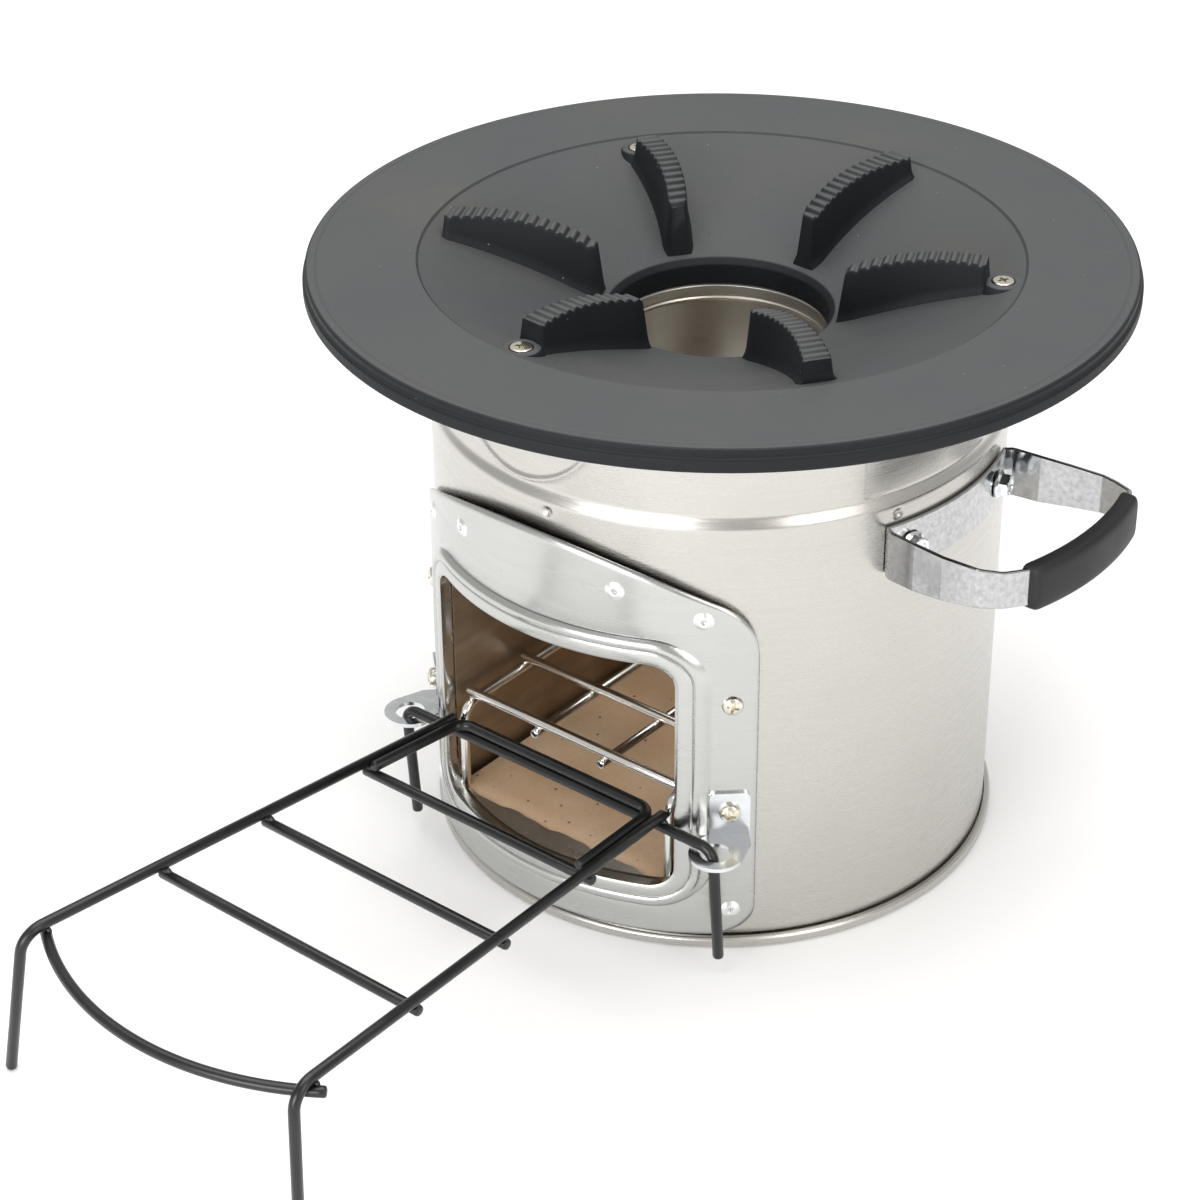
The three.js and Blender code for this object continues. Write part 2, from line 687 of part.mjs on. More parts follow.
function rackRail(side) {
  const y0 = RACK_ROD_Y + 1.5;
  const front = side * RAIL_FRONT_X + RACK_SKEW_FRONT;
  const points = [
    [side * railX(y0) + skewX(y0), y0, railZ(y0)],
    [front, RAIL_FRONT_Y, RAIL_FRONT_Z],
    [front + (side - 1) * RACK_LEG_SPLAY, RAIL_FRONT_Y - RACK_LEG_RAKE, 0.3],
  ];
  return sweepWire(points, WIRE_R, 11);
}

function rackPegRod() {
  const [driftX, driftY] = RACK_PEG_DRIFT;
  const peg = (side) => {
    const x = side * RACK_PEG_X + RACK_SKEW_BACK;
    return [
      [x + driftX, RACK_PEG_Y + driftY, RACK_PEG_END],
      [x, RACK_PEG_Y, RACK_ROD_Z],
      [x - side * 22, RACK_PEG_Y, RACK_ROD_Z],
      [x - side * 42, RACK_ROD_Y, RACK_ROD_Z],
    ];
  };
  return sweepWire([...peg(-1), ...peg(1).reverse()], WIRE_R, 7);
}

function rackLoop() {
  const off = 2 * WIRE_R + GAP;
  const yBar = RACK_ROD_Y + 0.5;
  const yEnd = RACK_BARS_Y[0] - 2;
  const at = (side, y) => [side * (railX(y) - off) + skewX(y), y, railZ(y)];
  const points = [at(-1, yEnd), at(-1, yBar), at(1, yBar), at(1, yEnd)];
  return sweepWire(points, WIRE_R, 8);
}

function rackBar(y) {
  const half = railX(y) + RACK_BAR_OVER;
  const g = new THREE.CylinderGeometry(WIRE_R, WIRE_R, 2 * half, 8);
  return g.rotateZ(Math.PI / 2).translate(skewX(y), y, railZ(y) - 2 * WIRE_R - GAP);
}

function rackBow() {
  const y0 = RAIL_FRONT_Y + RACK_BOW_BACK;
  const z = railZ(y0) - 2 * WIRE_R - 2 * GAP;
  const half = railX(y0) + 2 * RACK_BAR_OVER;
  const middle = skewX(y0) + RACK_BAR_OVER;
  const radius = (half ** 2 + RACK_BOW_SAG ** 2) / (2 * RACK_BOW_SAG);
  const a = Math.asin(half / radius);
  const points = [];
  const count = 12;
  for (let i = 0; i <= count; i += 1) {
    const b = -a + (2 * a * i) / count;
    points.push([middle + radius * Math.sin(b), y0 + radius * (Math.cos(a) - Math.cos(b)), z]);
  }
  return sweepWire(points, WIRE_R, 200, 8, 1);
}

function rack() {
  const group = new THREE.Group();
  group.name = "log_rack";
  group.add(coated("rack_rail_left", rackRail(-1)));
  group.add(coated("rack_rail_right", rackRail(1)));
  group.add(coated("rack_peg_rod", rackPegRod()));
  group.add(coated("rack_loop", rackLoop()));
  RACK_BARS_Y.forEach((y, i) => group.add(coated(`rack_bar_${i + 1}`, rackBar(y))));
  group.add(coated("rack_bow", rackBow()));
  return group;
}

// ---- wire grate standing in the firebox ----
function grateSide(side) {
  const x = side * GRATE_HALF;
  const foot = TILE_TOP + GAP;
  const points = [
    [x, GRATE_FRONT, foot], [x, GRATE_FRONT, GRATE_Z], [x, GRATE_BACK, GRATE_Z], [x, GRATE_BACK, foot],
  ];
  return sweepWire(points, GRATE_R, 6);
}

function grateRun(side) {
  const y0 = GRATE_FRONT + 1.5;
  const y1 = GRATE_BACK - 1;
  const g = new THREE.CylinderGeometry(GRATE_R, GRATE_R, y1 - y0, 8);
  return g.translate(side * GRATE_RUN_X, (y0 + y1) / 2, GRATE_Z);
}

function grateCross(index) {
  const half = GRATE_HALF + 1.8;
  const g = new THREE.CylinderGeometry(GRATE_R, GRATE_R, 2 * half, 8);
  const y = GRATE_FRONT + 5.5 + GRATE_PITCH * index;
  return g.rotateZ(Math.PI / 2).translate(0, y, GRATE_Z + 2 * GRATE_R + GAP);
}

function fireGrate() {
  const group = new THREE.Group();
  group.name = "fire_grate";
  group.add(bright("grate_side_left", grateSide(-1)));
  group.add(bright("grate_side_right", grateSide(1)));
  group.add(bright("grate_run_left", grateRun(-1)));
  group.add(bright("grate_run_right", grateRun(1)));
  for (let i = 0; i < 4; i += 1) {
    group.add(bright(`grate_cross_${i + 1}`, grateCross(i)));
  }
  return group;
}

// ---- handles ----
// A point on the bowed bar that carries the grip, t from its middle, moved out by shift.
function barPoint(t, shift) {
  const bowR = (BAR_HALF ** 2 + STRAP_BOW ** 2) / (2 * STRAP_BOW);
  const rise = Math.sqrt(bowR ** 2 - t ** 2) - Math.sqrt(bowR ** 2 - BAR_HALF ** 2);
  return [STRAP_REACH + rise + shift, BAR_MID_Y + t];
}

// Plan of the strap's closed centreline: round the body, out along the +Y leg, which flares,
// back along the grip bar and in along the -Y leg, which turns in early.
function strapLine() {
  const seatR = BODY_R + GAP + STRAP_THICK / 2;
  const wrap = Math.asin((STRAP_HALF - 4) / seatR);
  const leg = STRAP_HALF - STRAP_THICK / 2;
  const root = seatR * Math.cos(wrap) + 3.4;
  const line = [];
  for (let i = -6; i <= 6; i += 1) {
    line.push([seatR * Math.cos((wrap * i) / 6), seatR * Math.sin((wrap * i) / 6)]);
  }
  line.push([root, leg - 0.4], [root + 14, leg + 1.2], [root + 28, leg + 4.3]);
  line.push([root + 43, leg + 7], [root + 50, leg + 6.4], [STRAP_REACH - 3, leg + 3.6]);
  for (let i = 5; i >= -5; i -= 1) {
    line.push(barPoint((BAR_HALF * i) / 5, 0));
  }
  line.push([STRAP_REACH - 8, 6.3 - leg], [STRAP_REACH - 17, 1.1 - leg]);
  line.push([root + 28, -leg - 1.4], [root + 14, -leg - 1.2], [root, 0.4 - leg]);
  return line;
}

// A closed plan line moved outwards by d, with mitred corners.
function grown(line, d) {
  const n = line.length;
  const unit = (a, b) => new THREE.Vector2(b[0] - a[0], b[1] - a[1]).normalize();
  return line.map((p, i) => {
    const a = unit(line[(i + n - 1) % n], p);
    const b = unit(p, line[(i + 1) % n]);
    const out = new THREE.Vector2(-a.y - b.y, a.x + b.x).normalize();
    const reach = d / Math.max(0.4, -out.x * a.y + out.y * a.x);
    return [p[0] + out.x * reach, p[1] + out.y * reach];
  });
}

function strap(side) {
  const h = STRAP_THICK / 2;
  const low = HANDLE_Z - STRAP_TALL / 2;
  const high = HANDLE_Z + STRAP_TALL / 2;
  const outer = loopShape(grown(strapLine(), h));
  const inner = loopShape(grown(strapLine(), -h));
  const ring = cut(extrudeZ(outer, low, high), extrudeZ(inner, low - 1, high + 1));
  const taper = new THREE.Shape();
  const dz = (STRAP_TALL - STRAP_TIP) / 2;
  const root = BODY_R + 7.5;
  const tip = STRAP_REACH - 10;
  const end = STRAP_REACH + 20;
  taper.moveTo(100, low);
  taper.lineTo(root, low);
  taper.lineTo(tip, low + dz);
  taper.lineTo(end, low + dz);
  taper.lineTo(end, high - dz);
  taper.lineTo(tip, high - dz);
  taper.lineTo(root, high);
  taper.lineTo(100, high);
  const taperSlab = extrudeFront(taper, -80, 80);
  const bolts = [-1, 1].map((k) => radialDrill(BOLT_HOLE_R, HANDLE_Z, boltAzimuth(k)));
  const g = cut(overlap(ring, taperSlab), ...bolts);
  return side > 0 ? g : mirrorX(g);
}

function barArc(shift, half, count = 8) {
  const pts = [];
  for (let i = 0; i <= count; i += 1) {
    pts.push(barPoint(half * ((2 * i) / count - 1), shift));
  }
  return pts;
}

function loopShape(points) {
  const s = new THREE.Shape();
  s.moveTo(...points[0]);
  points.slice(1).forEach((p) => s.lineTo(...p));
  return s;
}

function grip(side) {
  const half = GRIP_THICK / 2;
  const soft = 2.2;
  const inner = barArc(-half + soft, GRIP_HALF - soft).reverse();
  const plan = loopShape([...barArc(half - soft, GRIP_HALF - soft), ...inner]);
  const g = new THREE.ExtrudeGeometry(plan, {
    depth: GRIP_TALL - 2 * soft,
    bevelEnabled: true,
    bevelThickness: soft,
    bevelSize: soft,
    bevelSegments: 2,
  });
  g.translate(0, 0, HANDLE_Z - GRIP_TALL / 2 + soft);
  const wide = STRAP_THICK / 2 + GAP;
  const low = HANDLE_Z - STRAP_TIP / 2 - GAP;
  const high = HANDLE_Z + STRAP_TIP / 2 + GAP;
  const around = extrudeZ(loopShape(grown(strapLine(), wide)), low, high);
  const core = extrudeZ(loopShape(grown(strapLine(), -wide)), low - 1, high + 1);
  const body = cut(g, cut(around, core));
  return side > 0 ? body : mirrorX(body);
}

function handleBolt(side, k) {
  const g = lathe([
    [0, -9], [2.9, -9], [2.9, 0], [6.6, 0], [6.6, 0.9], [5.2, 1.6], [5.2, 1.7], [0, 1.7],
  ], 16);
  const hex = new THREE.CylinderGeometry(5.75, 5.75, 4.6, 6).rotateX(Math.PI / 2).translate(0, 0, 3.6);
  const dimple = disc(2.6, 5.3, 8, 16);
  const seat = BODY_R + STRAP_THICK + 2 * GAP + 0.1;
  const bolt = cut(join(g, hex), dimple);
  bolt.rotateX(Math.PI / 2).translate(0, -seat, HANDLE_Z).rotateZ(boltAzimuth(k));
  return side > 0 ? bolt : mirrorX(bolt);
}

// ---- assembly ----
const stove = new THREE.Group();
stove.name = "rocket_stove";
stove.add(outerShell());
stove.add(basePan());
stove.add(deckRing());
stove.add(cooktop());
[0, 1, 2, 3, 4, 5].forEach((i) => stove.add(fin(i)));
[0, 1, 2].forEach((i) => stove.add(cooktopScrew(i)));
stove.add(chamber());
stove.add(firebox());
stove.add(floorTile());
stove.add(frontSill());
stove.add(doorFrame());
FRAME_RIVETS.forEach((_, i) => stove.add(frameRivet(i)));
FRAME_SCREWS.forEach((_, i) => stove.add(frameScrew(i)));

for (const side of [-1, 1]) {
  const tag = side < 0 ? "left" : "right";
  stove.add(zinc(`rack_lug_${tag}`, lug(side)));
  stove.add(zinc(`lug_screw_${tag}`, lugScrew(side)));
  stove.add(zinc(`handle_strap_${tag}`, strap(side)));
  stove.add(paint(`handle_grip_${tag}`, grip(side), 0x1b1b1c, 0.62, 0));
  stove.add(zinc(`handle_bolt_${tag}_1`, handleBolt(side, -1)));
  stove.add(zinc(`handle_bolt_${tag}_2`, handleBolt(side, 1)));
}

stove.add(rack());
stove.add(fireGrate());

export default stove;
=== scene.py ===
"""Looks of the rocket stove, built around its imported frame.

Shapes are worked out in millimetres in the row frame (+Z up, fuel door facing -Y) and scaled to metres.
"""

import json
import math

import bmesh
import bpy
from mathutils import Matrix, Vector

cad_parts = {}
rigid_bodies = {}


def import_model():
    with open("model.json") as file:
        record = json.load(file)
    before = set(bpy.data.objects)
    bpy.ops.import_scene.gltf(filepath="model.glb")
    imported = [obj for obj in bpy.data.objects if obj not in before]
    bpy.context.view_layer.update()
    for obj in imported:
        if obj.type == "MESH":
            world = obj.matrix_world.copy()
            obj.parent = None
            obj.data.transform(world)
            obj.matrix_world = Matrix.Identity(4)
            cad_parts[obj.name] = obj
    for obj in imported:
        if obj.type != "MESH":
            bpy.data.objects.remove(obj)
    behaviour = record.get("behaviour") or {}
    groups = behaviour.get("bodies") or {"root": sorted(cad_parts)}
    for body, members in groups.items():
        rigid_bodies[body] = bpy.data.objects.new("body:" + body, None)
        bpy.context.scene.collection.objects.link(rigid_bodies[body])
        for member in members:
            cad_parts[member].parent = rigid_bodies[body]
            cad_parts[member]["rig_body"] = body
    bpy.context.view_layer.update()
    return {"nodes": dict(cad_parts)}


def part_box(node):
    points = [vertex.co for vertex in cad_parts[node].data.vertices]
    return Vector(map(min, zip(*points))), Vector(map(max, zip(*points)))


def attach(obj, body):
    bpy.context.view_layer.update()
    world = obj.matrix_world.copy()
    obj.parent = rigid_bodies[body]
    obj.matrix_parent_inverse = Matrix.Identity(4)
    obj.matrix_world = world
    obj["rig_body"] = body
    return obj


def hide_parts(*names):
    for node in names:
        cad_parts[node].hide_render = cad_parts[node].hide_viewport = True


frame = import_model()

# ---- sizes in millimetres, read from the frame where it has them ----
MM = 0.001


def low(node):
    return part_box(node)[0] / MM


def high(node):
    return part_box(node)[1] / MM


BODY_R = high("outer_shell").x
BODY_TOP = high("outer_shell").z
BODY_BOTTOM = low("outer_shell").z
NECK_R = BODY_R - 2.3
SHOULDER_Z = 222
SHOULDER_TALL = 7
SHEET = 0.8
DOOR_CUT_HALF = 70.6
DOOR_CUT_LOW = 31
DOOR_CUT_HIGH = 161

PLATE_R = high("cooktop").x
PLATE_TOP = high("cooktop").z
FIN_TOP = high("cooktop_fin_1").z
PLATE_EDGE = 11
PLATE_THICK = 7
DISH_R = 137.5
DISH_STEP = 0.9
HOLE_R = 50
HOLE_TOP = 264
COLLAR_BOTTOM = low("cooktop").z
COLLAR_R = 54.5
COLLAR_FLARE_R = 57
COLLAR_FLARE_Z = 259.5
UNDER_FLAT_R = 131
CAST_TURN = -64.5
FIN_IN = 57.5
FIN_OUT_LONG = 129
FIN_OUT_SHORT = 120.5
FIN_DROP = 0.0031
FIN_LEVEL_R = 112
FIN_TOOTH = 1.3
FIN_PITCH = 5
FIN_BOW = 4.5
FIN_LEAN = 2.4
FIN_HALF_IN = 3.4
FIN_HALF_GROW = 2.5
FIN_DRAFT = 1.15
FIN_SINK = 1.2
FIN_FLARE = 1.6
FIN_FLARE_TALL = 3
FIN_ROUND = 0.8
FIN_LEVELS = 14
COOK_SCREW_R = 128.3
COOK_SCREW_TURNS = (330, 90, 210)
CHAMBER_R = 52.2

DOOR_HALF = 70
DOOR_LOW = 35
DOOR_HIGH = 157
DOOR_CORNER = 12
FRAME_HALF = high("door_frame").x
FRAME_LOW = low("door_frame").z
FRAME_CROWN = high("door_frame").z
FRAME_CROWN_R = 157.8
FRAME_CORNER = 15
FRAME_JOIN_X = 82
FRAME_BEND_LOW = 158
FRAME_BEND_HIGH = 181
FRAME_STANDOFF = 3
FRAME_SHEET = 1.2
GAP = 0.35
EDGE_Y = math.sqrt((BODY_R + GAP) ** 2 - FRAME_HALF ** 2)
FRAME_PROUD = BODY_R + GAP + FRAME_STANDOFF
FRAME_C = (FRAME_PROUD ** 2 - FRAME_HALF ** 2 - EDGE_Y ** 2) / (2 * (FRAME_PROUD - EDGE_Y))
FRAME_R = FRAME_PROUD - FRAME_C

FRAME_RIVETS = ((-34.8, 179.5), (-18.5, 191), (18.5, 191), (34.8, 179.5), (-40.5, 23), (40.5, 23))
FRAME_SCREWS = ((-40.3, 135.5), (40.3, 135.5))
LUG_X = 88
LUG_SCREW_Z = 79

WIRE_R = 2.6
RACK_ROD_Z = 70
RACK_ROD_Y = -124
RACK_PEG_X = 93
RACK_PEG_Y = -124.6
RACK_PEG_END = 9
RACK_PEG_DRIFT = (2, 2.6)
RAIL_BACK_X = 63.4
RAIL_FRONT_X = 80.6
RAIL_FRONT_Y = -368
RAIL_FRONT_Z = 80
RACK_BARS_Y = (-176.5, -236, -293.5)
RACK_BAR_OVER = 2
RACK_BOW_BACK = 13
RACK_BOW_SAG = 26.5
RACK_SKEW_BACK = 1
RACK_SKEW_FRONT = -10.4
RACK_LEG_SPLAY = 8.2
RACK_LEG_RAKE = 3

GRATE_R = 2.4
GRATE_HALF = 62.2
GRATE_Z = 79
GRATE_FRONT = -116
GRATE_BACK = 22
GRATE_PITCH = 39.5
GRATE_RUN_X = 20
GRATE_BEND = 9
GRATE_CROSS_IN = 5.5
GRATE_CROSS_OVER = 1.8
TILE_TOP = high("floor_tile").z

HANDLE_Z = 202
BOLT_APOTHEM = 4.95
STRAP_TALL = 24
STRAP_TIP = 18
STRAP_THICK = 2
STRAP_HALF = 50
STRAP_REACH = 193.2
STRAP_BOW = 5.2
BAR_HALF = 39
BAR_MID_Y = 7
GRIP_TALL = 22
GRIP_THICK = 10
GRIP_HALF = 41.2
HANDLE_BOLT_Y = 34


# ---- mesh helpers ----
def piece(name, verts, faces, material, body="stove", sharp=35, closed=True):
    data = bpy.data.meshes.new(name)
    data.from_pydata([(x * MM, y * MM, z * MM) for x, y, z in verts], [], faces)
    if closed:
        bm = bmesh.new()
        bm.from_mesh(data)
        bmesh.ops.recalc_face_normals(bm, faces=bm.faces)
        bm.to_mesh(data)
        bm.free()
    data.polygons.foreach_set("use_smooth", [True] * len(data.polygons))
    data.set_sharp_from_angle(angle=math.radians(sharp))
    obj = bpy.data.objects.new(name, data)
    bpy.context.scene.collection.objects.link(obj)
    data.materials.append(material)
    if body:
        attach(obj, body)
    return obj


def rounded(points, steps=5, closed=False):
    """A 2D outline of (a, b, corner radius) with its corners rounded."""
    out = []
    n = len(points)
    for i, (a, b, r) in enumerate(points):
        if r == 0 or (not closed and i in (0, n - 1)):
            out.append((a, b))
            continue
        p = Vector((a, b))
        back = Vector(points[i - 1][:2]) - p
        ahead = Vector(points[(i + 1) % n][:2]) - p
        half = back.angle(ahead) / 2
        reach = min(r / math.tan(half), 0.49 * back.length, 0.49 * ahead.length)
        start = p + back.normalized() * reach
        end = p + ahead.normalized() * reach
        for k in range(steps + 1):
            t = k / steps
            q = start * (1 - t) ** 2 + p * (2 * t * (1 - t)) + end * t ** 2
            out.append((q.x, q.y))
    return out


def lathe_mesh(profile, segments):
    """Verts and faces of an (r, z) profile turned about Z; the profile closes on itself or on the axis."""
    loops = profile[:-1] if profile[0] == profile[-1] else profile
    verts = []
    rows = []
    for r, z in loops:
        if r < 1e-6:
            rows.append([len(verts)] * segments)
            verts.append((0, 0, z))
            continue
        start = len(verts)
        for k in range(segments):
            a = 2 * math.pi * k / segments
            verts.append((r * math.cos(a), r * math.sin(a), z))
        rows.append(list(range(start, start + segments)))
    pairs = list(zip(rows, rows[1:]))
    if profile[0] == profile[-1]:
        pairs.append((rows[-1], rows[0]))
    faces = []
    for lower, upper in pairs:
        for k in range(segments):
            j = (k + 1) % segments
            corners = [lower[k], lower[j], upper[j], upper[k]]
            face = list(dict.fromkeys(corners))
            if len(face) > 2:
                faces.append(face)
    return verts, faces


def lathe(name, profile, material, segments=192, body="stove", sharp=35, at=(0, 0, 0)):
    verts, faces = lathe_mesh(profile, segments)
    verts = [(x + at[0], y + at[1], z + at[2]) for x, y, z in verts]
    return piece(name, verts, faces, material, body, sharp)


def bent_path(corners, bend, steps=9):
    """A 3D path through corners with round bends."""
    points = [Vector(c) for c in corners]
    out = [points[0]]
    for i in range(1, len(points) - 1):
        p = points[i]
        back = points[i - 1] - p
        ahead = points[i + 1] - p
        if back.angle(ahead) > math.radians(179.5):
            out.append(p)
            continue
        half = back.angle(ahead) / 2
        reach = min(bend / math.tan(half), 0.48 * back.length, 0.48 * ahead.length)
        radius = reach * math.tan(half)
        inward = (back.normalized() + ahead.normalized()).normalized()
        centre = p + inward * (radius / math.sin(half))
        start = p + back.normalized() * reach - centre
        end = p + ahead.normalized() * reach - centre
        full = start.angle(end)
        for k in range(steps + 1):
            t = k / steps
            arm = start * math.sin((1 - t) * full) + end * math.sin(t * full)
            out.append(centre + arm / math.sin(full))
    out.append(points[-1])
    return out


def wire(name, path, radius, material, body, sides=20, place=None):
    """A round wire swept along a path, with slightly domed ends."""
    tangents = []
    for i in range(len(path)):
        a = path[max(i - 1, 0)]
        b = path[min(i + 1, len(path) - 1)]
        tangents.append((b - a).normalized())
    side = tangents[0].orthogonal().normalized()
    verts = []
    rings = []

    def ring(centre, scale, u, v):
        start = len(verts)
        for k in range(sides):
            a = 2 * math.pi * k / sides
            verts.append(centre + (u * math.cos(a) + v * math.sin(a)) * radius * scale)
        rings.append(list(range(start, start + sides)))

    for i, centre in enumerate(path):
        t = tangents[i]
        side = (side - t * side.dot(t)).normalized()
        other = t.cross(side)
        if i == 0:
            ring(centre, 0.62, side, other)
            ring(centre + t * radius * 0.12, 0.88, side, other)
            ring(centre + t * radius * 0.4, 1, side, other)
        elif i == len(path) - 1:
            ring(centre - t * radius * 0.4, 1, side, other)
            ring(centre - t * radius * 0.12, 0.88, side, other)
            ring(centre, 0.62, side, other)
        else:
            ring(centre, 1, side, other)
    faces = [rings[0][::-1], rings[-1]]
    for lower, upper in zip(rings, rings[1:]):
        for k in range(sides):
            j = (k + 1) % sides
            faces.append([lower[k], lower[j], upper[j], upper[k]])
    if place:
        verts = [place(v) for v in verts]
    return piece(name, verts, faces, material, body, 60)


def extruded(name, plan, z0, z1, material, body="stove", bevel=0, sharp=35):
    """A closed 2D outline pushed up from z0 to z1."""
    n = len(plan)
    verts = [(x, y, z0) for x, y in plan] + [(x, y, z1) for x, y in plan]
    faces = [list(range(n))[::-1], list(range(n, 2 * n))]
    faces += [[k, (k + 1) % n, n + (k + 1) % n, n + k] for k in range(n)]
    obj = piece(name, verts, faces, material, body, sharp)
    if bevel:
        soften(obj, bevel)
    return obj


def soften(obj, width, angle=35, segments=2):
    m = obj.modifiers.new("soft_edges", "BEVEL")
    m.width = width * MM
    m.segments = segments
    m.limit_method = "ANGLE"
    m.angle_limit = math.radians(angle)
    m.harden_normals = True


def carve(obj, *cutters, operation="DIFFERENCE"):
    """Cuts the cutters out of obj (or joins them on) and keeps only the result."""
    for c in cutters:
        m = obj.modifiers.new("carve", "BOOLEAN")
        m.object = c
        m.operation = operation
        m.solver = "EXACT"
    bpy.context.view_layer.update()
    shaped = obj.evaluated_get(bpy.context.evaluated_depsgraph_get())
    data = bpy.data.meshes.new_from_object(shaped)
    obj.modifiers.clear()
    obj.data = data
    for c in cutters:
        bpy.data.objects.remove(c)
    data.set_sharp_from_angle(angle=math.radians(35))
    return obj


def refined(node, material, bevel=0.3, segments=2):
    """A clean copy of a CAD node's mesh with soft edges, shown in its place."""
    source = frame["nodes"][node]
    bm = bmesh.new()
    bm.from_mesh(source.data)
    bmesh.ops.remove_doubles(bm, verts=bm.verts, dist=1e-6)
    bmesh.ops.dissolve_limit(bm, angle_limit=math.radians(0.5), verts=bm.verts, edges=bm.edges)
    bm.verts.index_update()
    verts = [tuple(v.co / MM) for v in bm.verts]
    faces = [[v.index for v in f.verts] for f in bm.faces]
    bm.free()
    obj = piece(node + "_skin", verts, faces, material, source["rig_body"])
    soften(obj, bevel, segments=segments)
    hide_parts(node)
    return obj


# ---- material helpers ----
class Shader:
    """A principled material with a few short-hands for its node tree."""

    def __init__(self, name, rough, metal, **sockets):
        self.material = bpy.data.materials.new(name)
        self.material.use_nodes = True
        self.tree = self.material.node_tree
        self.bsdf = self.tree.nodes["Principled BSDF"]
        self.set("Roughness", rough)
        self.set("Metallic", metal)
        for key, value in sockets.items():
            self.set(key.replace("_", " "), value)
        coord = self.tree.nodes.new("ShaderNodeTexCoord")
        self.coord = coord.outputs["Object"]

    def set(self, socket, value):
        self.bsdf.inputs[socket].default_value = value

    def link(self, output, socket):
        self.tree.links.new(output, self.bsdf.inputs[socket])

    def scaled(self, x, y, z):
        m = self.tree.nodes.new("ShaderNodeMapping")
        m.inputs["Scale"].default_value = (x, y, z)
        self.tree.links.new(self.coord, m.inputs["Vector"])
        return m.outputs["Vector"]

    def noise(self, scale, detail=4, roughness=0.55, vector=None):
        n = self.tree.nodes.new("ShaderNodeTexNoise")
        n.inputs["Scale"].default_value = scale
        n.inputs["Detail"].default_value = detail
        n.inputs["Roughness"].default_value = roughness
        self.tree.links.new(vector or self.coord, n.inputs["Vector"])
        return n.outputs["Fac"]

    def cells(self, scale, vector=None):
        n = self.tree.nodes.new("ShaderNodeTexVoronoi")
        n.inputs["Scale"].default_value = scale
        self.tree.links.new(vector or self.coord, n.inputs["Vector"])
        return n.outputs["Distance"]

    def ramp(self, factor, *stops):
        r = self.tree.nodes.new("ShaderNodeValToRGB")
        while len(r.color_ramp.elements) < len(stops):
            r.color_ramp.elements.new(0.5)
        for element, (place, colour) in zip(r.color_ramp.elements, stops):
            element.position = place
            element.color = (*colour, 1) if len(colour) == 3 else colour
        self.tree.links.new(factor, r.inputs["Fac"])
        return r.outputs["Color"]

    def spread(self, factor, low_value, high_value, start=0.3, end=0.7):
        m = self.tree.nodes.new("ShaderNodeMapRange")
        m.inputs["From Min"].default_value = start
        m.inputs["From Max"].default_value = end
        m.inputs["To Min"].default_value = low_value
        m.inputs["To Max"].default_value = high_value
        self.tree.links.new(factor, m.inputs["Value"])
        return m.outputs["Result"]

    def mix(self, factor, a, b, blend="MIX"):
        m = self.tree.nodes.new("ShaderNodeMix")
        m.data_type = "RGBA"
        m.blend_type = blend
        for value, socket in ((factor, m.inputs["Factor"]), (a, m.inputs[6]), (b, m.inputs[7])):
            if isinstance(value, (tuple, float, int)):
                socket.default_value = (*value, 1) if isinstance(value, tuple) else value
            else:
                self.tree.links.new(value, socket)
        return m.outputs[2]

    def facing_up(self):
        """How far a face points up, from 0 for a wall to 1 for a level top."""
        g = self.tree.nodes.new("ShaderNodeNewGeometry")
        split = self.tree.nodes.new("ShaderNodeSeparateXYZ")
        self.tree.links.new(g.outputs["Normal"], split.inputs["Vector"])
        return split.outputs["Z"]

    def bump(self, height, distance, strength=1, under=None):
        b = self.tree.nodes.new("ShaderNodeBump")
        b.inputs["Distance"].default_value = distance * MM
        b.inputs["Strength"].default_value = strength
        self.tree.links.new(height, b.inputs["Height"])
        if under:
            self.tree.links.new(under, b.inputs["Normal"])
        return b.outputs["Normal"]


def brushed_steel(name, colour, rough, grain=(25, 25, 900), depth=0.004):
    """Sheet steel brushed round the body, with faint smears."""
    s = Shader(name, rough, 1)
    lines = s.noise(1, 3, 0.6, s.scaled(*grain))
    smears = s.noise(9, 3, 0.5)
    tint = s.ramp(smears, (0.35, tuple(c * 0.95 for c in colour)), (0.65, colour))
    s.link(s.mix(s.spread(lines, 0, 0.3), tint, tuple(c * 0.9 for c in colour)), "Base Color")
    s.link(s.spread(lines, rough - 0.03, rough + 0.05), "Roughness")
    s.link(s.bump(lines, depth), "Normal")
    return s.material


def cast_iron(name):
    """Blue-black casting whose up-facing faces are painted lighter: a painted top light mixed with a thin
    brownish dust.
    """
    s = Shader(name, 0.6, 0, Specular_IOR_Level=0.25)
    grain = s.noise(800, 4, 0.7)
    pits = s.noise(260, 3, 0.6)
    cloud = s.noise(11, 4, 0.6)
    bare = s.ramp(cloud, (0.3, (0.005, 0.0065, 0.0085)), (0.7, (0.008, 0.0095, 0.011)))
    # Painted top light with a thin brownish dust: the lighter colour that up-facing faces get.
    lit_top_and_dust = s.ramp(cloud, (0.3, (0.056, 0.0595, 0.063)), (0.55, (0.064, 0.066, 0.0675)),
                   (0.78, (0.08, 0.078, 0.073)))
    lit_top_and_dust = s.mix(s.spread(grain, 0, 0.4, 0.35, 0.75), lit_top_and_dust, (0.085, 0.085, 0.084))
    # Up-facing faces take the painted top light and dust, walls keep the dark bare iron.
    top_lit_iron = s.mix(s.spread(s.facing_up(), 0, 1, 0.72, 0.97), bare, lit_top_and_dust)
    specks = s.spread(s.cells(95), 1, 0, 0.02, 0.04)
    s.link(s.mix(specks, top_lit_iron, (0.22, 0.22, 0.21)), "Base Color")
    s.link(s.spread(cloud, 0.5, 0.62), "Roughness")
    s.link(s.bump(grain, 0.1, 0.7, s.bump(pits, 0.15, 0.5)), "Normal")
    return s.material


